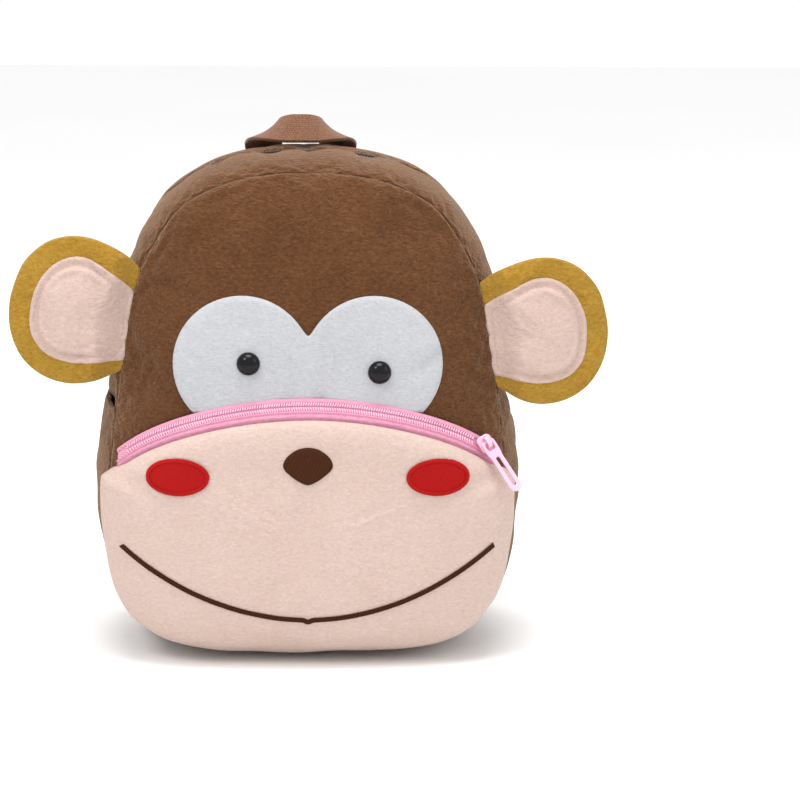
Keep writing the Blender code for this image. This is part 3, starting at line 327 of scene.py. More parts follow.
# Each kind's looks: dark to light colours, then what the function's further arguments name
LOOKS = {
    plush: {
        "brown_plush": ((0.064, 0.0225, 0.0072), (0.101, 0.0385, 0.0132), (0.146, 0.062, 0.0235),
                        0.42, (1.0, 0.76, 0.56), 0.80),
        "peach_plush": ((0.490, 0.363, 0.310), (0.540, 0.412, 0.358), (0.590, 0.466, 0.410),
                        0.05, (1.0, 0.90, 0.85), 0.32),
        "yellow_plush": ((0.270, 0.138, 0.0140), (0.340, 0.190, 0.025), (0.41, 0.245, 0.040),
                         0.22, (1.0, 0.88, 0.55), 0.60),
        "pale_pink_plush": ((0.47, 0.335, 0.288), (0.525, 0.388, 0.336), (0.575, 0.445, 0.390),
                            0.06, (1.0, 0.93, 0.90), 0.42),
        "white_plush": ((0.39, 0.395, 0.415), (0.440, 0.448, 0.468), (0.49, 0.50, 0.52),
                        0.04, (1.0, 1.0, 1.0), 0.32),
        "pink_suede": ((0.50, 0.20, 0.30), (0.57, 0.25, 0.355), (0.64, 0.31, 0.41),
                       0.08, (1.0, 0.85, 0.92), 0.15),
    },
    thread: {
        "red_felt": ((0.30, 0.0016, 0.0014), (0.45, 0.0035, 0.0032), 0.0007, 0.9),
        "red_thread": ((0.38, 0.0035, 0.0032), (0.58, 0.014, 0.012), 0.0006, 0.2),
        "dark_brown_thread": ((0.020, 0.0050, 0.0008), (0.082, 0.0215, 0.0040), 0.0007, 0.15),
        "pale_thread": ((0.52, 0.36, 0.31), (0.76, 0.60, 0.54), 0.0005),
    },
    woven_tape: {
        "pink_tape": ((0.52, 0.19, 0.29), (0.68, 0.32, 0.43)),
        "brown_tape": ((0.040, 0.016, 0.007), (0.080, 0.034, 0.015)),
    },
    webbing_weave: {
        "brown_webbing": ((0.040, 0.0125, 0.004), (0.290, 0.112, 0.040)),
    },
    moulded: {
        "pink_coil": ((0.72, 0.34, 0.47), (0.82, 0.46, 0.59), 0.30),
        "pink_enamel": ((0.80, 0.41, 0.55), (0.86, 0.48, 0.62), 0.22, 0.4),
        "brown_coil": ((0.034, 0.015, 0.007), (0.058, 0.026, 0.012), 0.42),
        "dark_plastic": ((0.030, 0.023, 0.021), (0.052, 0.042, 0.038), 0.40, 0.0, 1400.0, 0.2),
        "black_bead": ((0.002, 0.002, 0.003), (0.006, 0.006, 0.007), 0.10, 0.0, 200.0, 0.0, 0.22),
    },
}
FINISH = {name: kind(name, *look) for kind, looks in LOOKS.items() for name, look in looks.items()}


# Lines and outlines

def smooth_line(points, steps, closed=False):
    """Catmull-Rom curve through the points, with steps pieces to each span."""
    given = [np.array(p, dtype=float) for p in points]
    if closed:
        padded = [given[-1]] + given + [given[0], given[1]]
        spans = len(given)
    else:
        padded = [2 * given[0] - given[1]] + given + [2 * given[-1] - given[-2]]
        spans = len(given) - 1
    line = []
    for s in range(spans):
        a, b, c, d = padded[s:s + 4]
        for k in range(steps):
            t = k / steps
            line.append(0.5 * (2 * b + (c - a) * t + (2 * a - 5 * b + 4 * c - d) * t ** 2
                               + (3 * b - a - 3 * c + d) * t ** 3))
    if not closed:
        line.append(given[-1])
    return np.array(line)


def lengths_along(line):
    return np.concatenate([[0.0], np.cumsum(np.linalg.norm(np.diff(line, axis=0), axis=1))])


def even_points(line, shares):
    lengths = lengths_along(line)
    at = np.array(shares) * lengths[-1]
    return np.stack([np.interp(at, lengths, line[:, k]) for k in range(line.shape[1])], axis=1)


def seam_line():
    right = [(a * SEAM_WIDTH / 2, SEAM_BASE_Z + b * SEAM_HEIGHT) for a, b in SEAM_OUTLINE]
    left = [(-x, z) for x, z in reversed(right[1:-1])]
    line = smooth_line(right + left, 12, closed=True)
    return np.vstack([line, line[:1]])


SEAM = seam_line()
SEAM_LENGTH = lengths_along(SEAM)[-1]


def seam_outward(share):
    step = 0.0015
    a, p, b = even_points(SEAM, [(share - step) % 1.0, share % 1.0, (share + step) % 1.0])
    along = (b - a) / np.linalg.norm(b - a)
    return p, np.array([along[1], -along[0]])


def seam_share_at(z, side):
    lengths = lengths_along(SEAM)
    half = len(SEAM) // 2
    share = np.interp(z, SEAM[6:half, 1], lengths[6:half]) / lengths[-1]
    return share if side == "right" else 1.0 - share


def seam_half_width(z):
    half = len(SEAM) // 2
    return float(np.interp(z, SEAM[6:half, 1], SEAM[6:half, 0]))


def seam_top_z(x):
    quarter = len(SEAM) // 4
    top = SEAM[quarter + quarter // 2:len(SEAM) // 2 + 1]
    return float(np.interp(-abs(x), -top[:, 0], top[:, 1]))


def polar_radius(line, centre):
    """Angles and radii of a closed outline about a centre, ready for np.interp."""
    rel = line - np.array(centre)
    angles = np.unwrap(np.arctan2(rel[:, 1], rel[:, 0]))
    radii = np.hypot(rel[:, 0], rel[:, 1])
    if angles[-1] < angles[0]:
        angles = angles[::-1]
        radii = radii[::-1]
    turn = 2 * math.pi
    return np.concatenate([angles - turn, angles, angles + turn]), np.tile(radii, 3)


SEAM_POLAR = polar_radius(SEAM[:-1], (0.0, PANEL_CENTRE_Z))


def waver(point, size, seed=0.0):
    """Smooth random number from -1 to 1 that changes over about the given size."""
    return noise.noise(Vector((point[0] / size + seed, point[1] / size, point[2] / size)))


def smooth_step(value, low, high):
    t = min(1.0, max(0.0, (value - low) / (high - low)))
    return t * t * (3 - 2 * t)


def turns(count):
    """Angles of a circle's even steps."""
    return np.linspace(0.0, 2 * math.pi, count + 1)[:-1]


def squarish(angle, power_across, power_through):
    """A point of the unit circle, drawn out towards a square."""
    a, b = math.cos(angle), math.sin(angle)
    return math.copysign(abs(a) ** power_across, a), math.copysign(abs(b) ** power_through, b)


# Meshes

GRIDS = {}


def add_object(name, data):
    item = bpy.data.objects.new(name, data)
    bpy.context.scene.collection.objects.link(item)
    return item


def fill_grid(mesh, rows, closed, poles, flip, weave):
    """Quads between rows of points; poles closes the first row, the last row or both."""
    count, width = rows.shape[:2]
    points = rows.reshape(-1, 3).tolist()
    across = width if closed else width - 1
    faces = []
    for r in range(count - 1):
        for c in range(across):
            d = (c + 1) % width
            faces.append((r * width + c, r * width + d, (r + 1) * width + d, (r + 1) * width + c))
    for place, pole in poles.items():
        base = (count - 1) * width if place == "last" else 0
        turn = 0 if place == "last" else 1
        points.append(tuple(pole))
        for c in range(width):
            pair = (base + c, base + (c + 1) % width)
            faces.append((pair[turn], pair[1 - turn], len(points) - 1))
    if flip:
        faces = [tuple(reversed(face)) for face in faces]
    mesh.from_pydata(points, [], faces)
    if weave:
        down = lengths_along(rows[:, width // 2])
        side = lengths_along(rows[count // 2])
        layer = mesh.uv_layers.new(name="weave")
        corners = np.empty(len(mesh.loops), dtype=np.int32)
        mesh.loops.foreach_get("vertex_index", corners)
        places = np.stack([side[corners % width], down[corners // width]], axis=1)
        layer.data.foreach_set("uv", places.ravel())
    mesh.shade_smooth()


def grid_piece(name, rows, finish, closed=False, pole=None, first_pole=None, flip=False, weave=False):
    """A smooth object of quads between rows of points; weave adds a UV in metres along the grid."""
    rows = np.array(rows, dtype=float)
    poles = {}
    if pole is not None:
        poles["last"] = pole
    if first_pole is not None:
        poles["first"] = first_pole
    mesh = bpy.data.meshes.new(name)
    fill_grid(mesh, rows, closed, poles, flip, weave)
    mesh.materials.append(FINISH[finish])
    GRIDS[name] = (rows.shape[:2], closed, list(poles), flip, weave)
    return add_object(name, mesh)


def halved(rows, closed):
    """Adds a point in the middle of each step along the first axis, on the smooth curve."""
    count = len(rows)
    if closed:
        before, after, beyond = np.roll(rows, 1, 0), np.roll(rows, -1, 0), np.roll(rows, -2, 0)
        middle = (9 * (rows + after) - before - beyond) / 16
        return np.stack([rows, middle], axis=1).reshape(2 * count, *rows.shape[1:])
    padded = np.concatenate([2 * rows[:1] - rows[1:2], rows, 2 * rows[-1:] - rows[-2:-1]])
    middle = (9 * (padded[1:-2] + padded[2:-1]) - padded[:-3] - padded[3:]) / 16
    woven = np.stack([rows[:-1], middle], axis=1).reshape(2 * count - 2, *rows.shape[1:])
    return np.concatenate([woven, rows[-1:]])


def refine(item):
    """Halves the spacing of a piece's grid both ways and keeps its poles."""
    shape, closed, places, flip, weave = GRIDS[item.name]
    points = vertices(item)
    size = shape[0] * shape[1]
    rows = halved(points[:size].reshape(*shape, 3), False)
    rows = halved(rows.transpose(1, 0, 2), closed).transpose(1, 0, 2)
    poles = dict(zip(places, points[size:]))
    item.data.clear_geometry()
    fill_grid(item.data, rows, closed, poles, flip, weave)
    GRIDS[item.name] = (rows.shape[:2], closed, places, flip, weave)


def vertices(item):
    flat = np.empty(len(item.data.vertices) * 3)
    item.data.vertices.foreach_get("co", flat)
    return flat.reshape(-1, 3)


def set_vertices(item, points):
    item.data.vertices.foreach_set("co", points.ravel())
    item.data.update()


def keep_above(item, floor_z):
    points = vertices(item)
    points[:, 2] = np.maximum(points[:, 2], floor_z)
    set_vertices(item, points)


def wall(item, thickness, offset=-1.0):
    solid = item.modifiers.new("wall", "SOLIDIFY")
    solid.thickness = thickness
    solid.offset = offset
    solid.use_even_offset = False


def inflate(item, pinned, pressure, growth, cap, freedom=1.0):
    """Cloth under air pressure, sewn down at the pinned vertices; its capped movement is kept in the mesh.

    freedom is the share of the movement that each vertex keeps.
    """
    group = item.vertex_groups.new(name="sewn")
    group.add([int(k) for k in pinned], 1.0, "REPLACE")
    cloth = item.modifiers.new("cloth", "CLOTH")
    settings = cloth.settings
    settings.quality = 4
    settings.mass = 0.3
    settings.tension_stiffness = 12
    settings.compression_stiffness = 12
    settings.shear_stiffness = 4
    settings.bending_stiffness = 0.3
    settings.vertex_group_mass = "sewn"
    settings.shrink_min = -growth
    settings.use_pressure = True
    settings.uniform_pressure_force = pressure
    settings.effector_weights.gravity = 0
    cloth.point_cache.frame_start = 1
    cloth.point_cache.frame_end = CLOTH_FRAMES
    scene = bpy.context.scene
    for number in range(1, CLOTH_FRAMES + 1):
        scene.frame_set(number)
    shown = item.evaluated_get(bpy.context.evaluated_depsgraph_get()).data
    flat = np.empty(len(shown.vertices) * 3)
    shown.vertices.foreach_get("co", flat)
    before = vertices(item)
    moved = flat.reshape(-1, 3) - before
    size = np.linalg.norm(moved, axis=1, keepdims=True)
    set_vertices(item, before + moved * freedom * cap * np.tanh(size / cap) / np.maximum(size, 1e-9))
    item.modifiers.remove(cloth)
    item.vertex_groups.clear()
    scene.frame_set(1)


def shown_tree(item):
    """The finished surface of a piece, ready for rays."""
    return BVHTree.FromObject(item, bpy.context.evaluated_depsgraph_get())


def front_hit(tree, x, z):
    """Where a level ray from the front meets a surface, and the surface's direction there."""
    place, normal, _, _ = tree.ray_cast(Vector((x, -0.4, z)), Vector((0.0, 1.0, 0.0)))
    if place is None:
        return None, None
    if normal.y > 0:
        normal = -normal
    return place, normal


def on_surface(tree, x, z, lift):
    """A point that stands lift off a surface, found from the front."""
    place, normal = front_hit(tree, x, z)
    return place + normal * lift


def rods(name, runs, finish, radius, sides=6):
    """Short round threads or teeth, each from one point to another, with tapered ends."""
    points = []
    faces = []
    for start, end in runs:
        start = Vector(start)
        end = Vector(end)
        along = (end - start).normalized()
        side = along.orthogonal().normalized()
        other = along.cross(side)
        base = len(points)
        for at, size in ((0.0, 0.45), (0.15, 1.0), (0.85, 1.0), (1.0, 0.45)):
            centre = start.lerp(end, at)
            for k in range(sides):
                angle = 2 * math.pi * k / sides
                points.append(centre + (side * math.cos(angle) + other * math.sin(angle)) * radius * size)
        for ring in range(3):
            for k in range(sides):
                a = base + ring * sides + k
                b = base + ring * sides + (k + 1) % sides
                faces.append((a, b, b + sides, a + sides))
        faces.append(tuple(base + k for k in reversed(range(sides))))
        faces.append(tuple(base + 3 * sides + k for k in range(sides)))
    mesh = bpy.data.meshes.new(name)
    mesh.from_pydata([tuple(p) for p in points], [], faces)
    mesh.shade_smooth()
    mesh.materials.append(FINISH[finish])
    return add_object(name, mesh)


def dress(item, slot, *nodes, body="bag", fill=None):
    """Ties a piece to its body and hides the nodes that it stands for; its material slot is not used."""
    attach(item, body)
    if nodes:
        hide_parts(*nodes)
    return item


# Body panels

def dome_rise(share):
    """Share of the dome at a share of the radius: round at the seam, flat in the middle."""
    return max(0.0, 1.0 - share ** 3.4) ** 0.66


def make_panel(name, side, dome, node_name, seed):
    """A plush panel, sewn at its rim; side is -1 for the front and 1 for the back."""
    rim = even_points(SEAM, np.linspace(0.0, 1.0, PANEL_COLUMNS + 1))[:-1]
    centre = np.array([0.0, PANEL_CENTRE_Z])
    reaches = 1.0 - np.linspace(0.0, 1.0, 31)[:-1] ** 1.35
    tuck = 0.992
    rows = [[(x * tuck, side * (PANEL_RIM_Y - 0.0022), centre[1] + (z - centre[1]) * tuck) for x, z in rim]]
    for reach in reaches:
        row = []
        for k, p in enumerate(rim):
            x, z = centre + reach * (p - centre)
            edge = math.exp(-(1.0 - reach) * 0.10 / 0.008)
            place = (k * SEAM_LENGTH / PANEL_COLUMNS, 0.0, reach * 3.0)
            pucker = edge * 0.0009 * waver(place, 0.0075, seed)
            soft = 0.0011 * waver((x, 0.0, z), 0.045, seed + 7.0) * (1.0 - edge)
            y = PANEL_RIM_Y + dome * dome_rise(reach) + soft + pucker * (1.0 if reach < 0.999 else 0.0)
            row.append((x, side * y, z))
        rows.append(row)
    pole = (0.0, side * (PANEL_RIM_Y + dome), PANEL_CENTRE_Z)
    item = grid_piece(name, rows, "brown_plush", closed=True, pole=pole, flip=side > 0)
    inflate(item, range(2 * PANEL_COLUMNS), 3.0, 0.012, 0.0022)
    refine(item)
    wall(item, PLUSH_WALL)
    return dress(item, "brown_plush", node_name, fill=0.5)


def bulge_at(share):
    point, outward = seam_outward(share)
    base_part = max(0.0, -outward[1]) ** 2
    bulge = GUSSET_BULGE + (BASE_BULGE - GUSSET_BULGE) * base_part
    nearest = min(abs(share - seam_share_at(GUSSET_JOINT_Z, side)) for side in ("left", "right")) * SEAM_LENGTH
    return point, outward, bulge, nearest


def joint_pinch(nearest):
    """The bulge's share left near a side joint."""
    return 1.0 - 0.5 * math.exp(-(nearest / 0.010) ** 2)


def gusset_row(share, columns, seed):
    """One row of the gusset's outer face: rounded at the seams, pinched and folded at the side joints."""
    point, outward, bulge, nearest = bulge_at(share)
    place = share * SEAM_LENGTH
    row = []
    for c in columns:
        rise = max(0.0, 1.0 - abs(c) ** 2.2) ** 0.6
        edge = math.exp(-(1.0 - abs(c)) * HALF_DEPTH / 0.007)
        folds = 0.0022 * math.exp(-nearest / 0.020) * math.sin(nearest / 0.0026 + 2.0 * c) * (1.0 - c * c)
        lengthwise = 0.0013 * waver((place, c * HALF_DEPTH * 0.45, 0.0), 0.016, seed) * (1.0 - abs(c) ** 4)
        pucker = 0.0010 * edge * waver((place, 0.0, c), 0.0065, seed + 3.0)
        lift = bulge * joint_pinch(nearest) * rise + (folds + lengthwise + pucker) * (1.0 if abs(c) < 0.999 else 0.0)
        x, z = point + outward * lift
        row.append([x, c * (HALF_DEPTH - GAP / 2), max(0.0002, z)])
    return row, outward


def across_columns(start, end, count):
    """Column places over the gusset's depth, closer together at the seams."""
    t = np.linspace(0.0, 1.0, count)
    eased = 0.5 - 0.5 * np.cos(math.pi * t)
    return list(start + (end - start) * eased)


def make_gusset(name, start, end, count, columns, seed, node_name, folds=(False, False)):
    """A plush gusset; folds turns the edge beside the zip down over the tape."""
    rows = []
    for share in np.linspace(start, end, count):
        row, outward = gusset_row(share, columns, seed)
        for flag, order in ((folds[0], 1), (folds[1], -1)):
            if flag:
                for k, drop in enumerate((0.0026, 0.0013, 0.0004)):
                    index = k if order == 1 else len(row) - 1 - k
                    row[index][0] -= outward[0] * drop
                    row[index][2] -= outward[1] * drop
        rows.append(row)
    item = grid_piece(name, rows, "brown_plush")
    width = len(columns)
    pinned = [r * width + c for r in range(count) for c in range(width)
              if c in (0, width - 1) or r in (0, count - 1)]
    inflate(item, pinned, 3.0, 0.015, 0.0018)
    keep_above(item, 0.0002)
    refine(item)
    wall(item, PLUSH_WALL)
    return dress(item, "brown_plush", node_name, fill=0.5)


def make_body():
    make_panel("front_panel_plush", -1, FRONT_DOME, "front_panel", 1.3)
    make_panel("back_panel_plush", 1, BACK_DOME, "back_panel", 5.1)
    right = seam_share_at(GUSSET_JOINT_Z, "right")
    left = seam_share_at(GUSSET_JOINT_Z, "left")
    slack = GAP / 2 / SEAM_LENGTH
    full = across_columns(-1.0, 1.0, 29)
    make_gusset("gusset_lower_plush", left + slack - 1.0, right - slack, 220, full, 2.0, "gusset_lower")
    zip_front = (MAIN_ZIP_Y - MAIN_ZIP_WIDTH / 2) / HALF_DEPTH
    zip_back = (MAIN_ZIP_Y + MAIN_ZIP_WIDTH / 2) / HALF_DEPTH
    upper = (right + slack, left - slack, 190)
    front = across_columns(-1.0, zip_front, 19)
    back = across_columns(zip_back, 1.0, 17)
    make_gusset("gusset_upper_front_plush", *upper, front, 8.0, "gusset_upper_front", (False, True))
    make_gusset("gusset_upper_back_plush", *upper, back, 9.0, "gusset_upper_back", (True, False))
    make_main_zip(*upper[:2])


def make_main_zip(start, end):
    """Brown zip round the crown: tape below the turned plush edges and two rows of coil."""
    middle = MAIN_ZIP_Y
    half = MAIN_ZIP_WIDTH / 2 + 0.0012
    profile = [(-1.0, -2.2), (-0.6, -1.9), (-0.35, -1.7), (0.0, -1.8), (0.35, -1.7), (0.6, -1.9), (1.0, -2.2)]
    rows = []
    teeth = []
    for share in np.linspace(start, end, 200):
        point, outward, bulge, nearest = bulge_at(share)
        lift = bulge * joint_pinch(nearest)
        rows.append([(point[0] + outward[0] * (lift + h / 1000), middle + a * half,
                      point[1] + outward[1] * (lift + h / 1000)) for a, h in profile])
    tape = grid_piece("main_zip_tape", rows, "brown_tape")
    refine(tape)
    wall(tape, 0.0006)
    dress(tape, "brown_zip", "main_zip")
    for share in np.arange(start + 0.004, end - 0.004, MAIN_TOOTH_PITCH / SEAM_LENGTH):
        point, outward, bulge, nearest = bulge_at(share)
        lift = bulge * joint_pinch(nearest) - 0.0012
        along = np.array([-outward[1], outward[0]]) * 0.0004
        x, z = point + outward * lift
        for side in (-1, 1):
            teeth.append(((x - along[0], middle + side * 0.0002, z - along[1]),
                          (x + along[0], middle + side * 0.0024, z + along[1])))
    dress(rods("main_zip_teeth", teeth, "brown_coil", 0.00055), "brown_zip")


# Muzzle pocket and its zip

def front_panel_y(x, z):
    """Outer face of the frame's front panel."""
    angle = math.atan2(z - PANEL_CENTRE_Z, x)
    share = math.hypot(x, z - PANEL_CENTRE_Z) / np.interp(angle, *SEAM_POLAR)
    reach = (0.0, 0.22, 0.43, 0.60, 0.73, 0.83, 0.90, 0.945, 0.97, 1.0)
    rise = (1.0, 0.99, 0.96, 0.89, 0.78, 0.62, 0.43, 0.21, 0.0, 0.0)
    return -(HALF_DEPTH + GAP / 2 + 0.0015) - FRONT_DOME * np.interp(share, reach, rise)


def pocket_zip_z(x):
    share = abs(x) / POCKET_ZIP_HALF
    return POCKET_ZIP_TOP_Z - POCKET_ZIP_SAG * share ** 2 - POCKET_ZIP_END_DROP * share ** 8


def pocket_zip_step(x):
    share = min(1.0, abs(x) / POCKET_ZIP_HALF)
    return POCKET_ZIP_STEP + (POCKET_ZIP_END_STEP - POCKET_ZIP_STEP) * share ** 3


def muzzle_edge_z(x):
    return pocket_zip_z(x) - POCKET_ZIP_DROP


def muzzle_line():
    search = np.linspace(SEAM_WIDTH * 3 / 7, SEAM_WIDTH / 2, 200)
    corner = next(x for x in search if x >= seam_half_width(muzzle_edge_z(x)))
    corner_share = seam_share_at(muzzle_edge_z(corner), "right")
    lower = even_points(SEAM, np.linspace(0.0, corner_share, 90))
    arch = np.array([(x, muzzle_edge_z(x)) for x in np.linspace(corner, 0.0, 60)[1:]])
    right = np.vstack([lower, arch])
    line = np.vstack([right, np.column_stack([-right[-2::-1, 0], right[-2::-1, 1]])])
    weights = []
    depths = []
    for x, z in line:
        arched = z > muzzle_edge_z(corner) - 1e-6
        weights.append(smooth_step(corner - abs(x), 0.0, 0.012) if arched else 0.0)
        depths.append(front_panel_y(x, z) - pocket_zip_step(x) if arched else 0.0)
    return line, np.array(weights), np.array(depths)


def make_muzzle():
    """The stuffed muzzle pocket: sewn into the side seams below, turned to a hem along the zip."""
    line, weights, depths = muzzle_line()
    lengths = lengths_along(line)
    shares = np.linspace(0.0, 1.0, MUZZLE_COLUMNS + 1)[:-1]
    at = shares * lengths[-1]
    rim = even_points(line, shares)
    centre = np.array([0.0, MUZZLE_CENTRE_Z])
    seam_depth = -PANEL_RIM_Y
    rings = []
    by_zip = np.interp(at, lengths, weights)
    for k, point in enumerate(rim):
        radius = float(np.linalg.norm(point - centre))
        ray = (point - centre) / radius
        weight = by_zip[k]
        base = seam_depth + weight * (np.interp(at[k], lengths, depths) - seam_depth)
        section = []
        for along_seam, along_zip in zip(MUZZLE_SEAM_RINGS[1:], MUZZLE_ZIP_RINGS[1:]):
            reach, out, rise = (a + weight * (b - a) for a, b in zip(along_seam, along_zip))
            section.append((reach * radius + out * MUZZLE_OVERHANG, base + rise * (MUZZLE_Y - base)))
        section.append((0.2 * radius, MUZZLE_Y - 0.0002))
        curve = smooth_line(section, 3)
        ring = []
        for j, (distance, y) in enumerate(curve):
            x, z = centre + ray * distance
            near = math.exp(-j / 3.2)
            place = (at[k], 0.0, 0.0)
            pucker = 0.0012 * near * waver(place, 0.0080, 11.0) * (1.0 - weight) * (1.0 if j else 0.0)
            soft = 0.0012 * waver((x, y, z), 0.050, 4.0) * (1.0 - near)
            low_fold = 0.0016 * waver((x, y, z * 3.0), 0.030, 6.0) * smooth_step(-z, -0.045, -0.012)
            out = pucker + low_fold * (1.0 - near)
            ring.append((x + ray[0] * out, y - soft, max(0.0006, z + ray[1] * out)))
        tuck = 0.985 if weight < 0.5 else 0.99
        inner = centre + ray * radius * tuck
        ring.insert(0, (inner[0], base + (0.0018 if weight < 0.5 else 0.0010), inner[1]))
        rings.append(ring)
    rows = np.array(rings).transpose(1, 0, 2)
    pole = (0.0, MUZZLE_Y - 0.0002, MUZZLE_CENTRE_Z)
    item = grid_piece("muzzle_plush", rows, "peach_plush", closed=True, pole=pole)
    inward = np.linalg.norm(rows - rows[1], axis=2)
    held = by_zip * (1.0 - np.clip((inward - 0.006) / 0.020, 0.0, 1.0))
    freedom = np.append(1.0 - held.ravel(), 1.0)[:, None]
    inflate(item, range(2 * MUZZLE_COLUMNS), 2.5, 0.012, 0.0020, freedom)
    keep_above(item, 0.0006)
    refine(item)
    wall(item, MUZZLE_PLUSH_WALL)
    return dress(item, "peach_plush", "muzzle_pocket", fill=0.6)


def zip_point(x, share):
    top_z = pocket_zip_z(x)
    low_z = muzzle_edge_z(x) + 2.5 * GAP
    top_y = front_panel_y(x, top_z) - GAP - 0.0017
    low_y = front_panel_y(x, low_z) - pocket_zip_step(x) - GAP
    return Vector((x, top_y + share * (low_y - top_y), top_z + share * (low_z - top_z)))


def zip_frame(x, share):
    step = 0.001
    along = (zip_point(x + step, share) - zip_point(x - step, share)).normalized()
    down = zip_point(x, min(1.0, share + 0.2)) - zip_point(x, share - 0.2)
    outward = down.cross(along).normalized()
    if outward.y > 0:
        outward = -outward
    return along, outward.cross(along).normalized(), outward


def make_pocket_zip():
    """Pink tape with its sewn ridges, two rows of teeth and a soft lower band."""
    reach = POCKET_ZIP_HALF * POCKET_ZIP_REACH
    profile = smooth_line(ZIP_PROFILE, 3)
    rows = []
    for x in np.linspace(-reach - 0.004, reach + 0.002, 260):
        row = []
        _, _, outward = zip_frame(x, COIL_SHARE)
        for share, height in profile:
            ripple = 0.25 * waver((x, share, 0.0), 0.006, 2.0) * smooth_step(share, 0.7, 0.85)
            row.append(zip_point(x, share) + outward * (height + ripple) * 0.001)
        rows.append(row)
    tape = grid_piece("pocket_zip_band", rows, "pink_tape", weave=True)
    tape.data.materials.append(FINISH["pink_suede"])
    width = len(profile)
    for face in tape.data.polygons:
        if profile[face.vertices[0] % width][0] > 0.735:
            face.material_index = 1
    wall(tape, 0.0007)
    dress(tape, "pink_zip", "pocket_zip_tape")
    teeth = []
    x = -reach + 0.002
    while x < SLIDER_X - SLIDER_LENGTH / 2:
        along, across, outward = zip_frame(x, COIL_SHARE)
        middle = zip_point(x, COIL_SHARE) + outward * 0.00075
        for side in (-1, 1):
            inner = middle + across * side * 0.00035 - along * 0.00035
            outer = middle + across * side * 0.00255 + along * 0.00035 - outward * 0.0003
            teeth.append((inner, outer))
        x += ZIP_TOOTH_PITCH
    dress(rods("pocket_zip_teeth", teeth, "pink_coil", 0.00052), "pink_zip", "pocket_zip_coil")


def face_frame(at, along, outward):
    x = along.normalized()
    z = (outward - x * outward.dot(x)).normalized()
    placed = Matrix((x, z.cross(x), z)).transposed().to_4x4()
    placed.translation = at
    return placed


def slider_frame():
    _, _, outward = zip_frame(SLIDER_X, COIL_SHARE)
    at = zip_point(SLIDER_X, COIL_SHARE) + outward * (SLIDER_LIFT + SLIDER_BODY / 2)
    return face_frame(at, Vector(PULL_DIRECTION), Vector(SLIDER_NORMAL).normalized())


def outline_piece(name, loops, thickness, bevel, finish, placed):
    """Filled loops with round edges, turned into a mesh."""
    curve = bpy.data.curves.new(name, "CURVE")
    curve.dimensions = "2D"
    curve.fill_mode = "BOTH"
    curve.extrude = thickness / 2 - bevel
    curve.bevel_depth = bevel
    curve.bevel_resolution = 3
    curve.offset = -bevel
    for loop in loops:
        spline = curve.splines.new("POLY")
        spline.points.add(len(loop) - 1)
        for point, (x, y) in zip(spline.points, loop):
            point.co = (x, y, 0.0, 1.0)
        spline.use_cyclic_u = True
    item = add_object(name, curve)
    graph = bpy.context.evaluated_depsgraph_get()
    graph.update()
    mesh = bpy.data.meshes.new_from_object(item.evaluated_get(graph))
    bpy.data.objects.remove(item, do_unlink=True)
    mesh.transform(placed)
    mesh.materials.clear()
    mesh.materials.append(FINISH[finish])
    mesh.shade_smooth()
    mesh.set_sharp_from_angle(angle=math.radians(50))
    return add_object(name, mesh)


def round_box(width, height, radius, centre=(0.0, 0.0), steps=6):
    loop = []
    for k, (sx, sy) in enumerate([(1, 1), (-1, 1), (-1, -1), (1, -1)]):
        cx = centre[0] + sx * (width / 2 - radius)
        cy = centre[1] + sy * (height / 2 - radius)
        for step in range(steps + 1):
            angle = math.pi / 2 * (k + step / steps)
            loop.append((cx + radius * math.cos(angle), cy + radius * math.sin(angle)))
    return loop


def make_slider():
    placed = slider_frame()
    body = outline_piece("pocket_zip_slider_body", [round_box(SLIDER_LENGTH, SLIDER_WIDTH, 0.0024)],
                         SLIDER_BODY, 0.0007, "pink_enamel", placed)
    dress(body, "pink_enamel", "pocket_zip_slider")
    half = BRIDGE_LENGTH / 2 - BRIDGE_WALL / 2
    top = BRIDGE_HEIGHT - BRIDGE_WALL / 2 + SLIDER_BODY / 2
    low = SLIDER_BODY / 2 - 0.0004
    bend = 0.0012
    path = [(-half, low), (-half, top - bend), (-half + bend, top), (half - bend, top), (half, top - bend), (half, low)]
    line = smooth_line(path, 5)
    rows = []
    for k, point in enumerate(line):
        before = line[max(0, k - 1)]
        after = line[min(len(line) - 1, k + 1)]
        along = (after - before) / np.linalg.norm(after - before)
        out = np.array([-along[1], along[0]])
        row = []
        for angle in turns(16):
            a, b = squarish(angle, 0.7, 0.7)
            x, z = point + out * a * BRIDGE_WALL / 2
            row.append(placed @ Vector((x, b * BRIDGE_WIDTH / 2, z)))
        rows.append(row)
    bridge = grid_piece("pocket_zip_slider_bridge", rows, "pink_enamel", closed=True,
                        pole=placed @ Vector((half, 0.0, low)), first_pole=placed @ Vector((-half, 0.0, low)))
    dress(bridge, "pink_enamel")


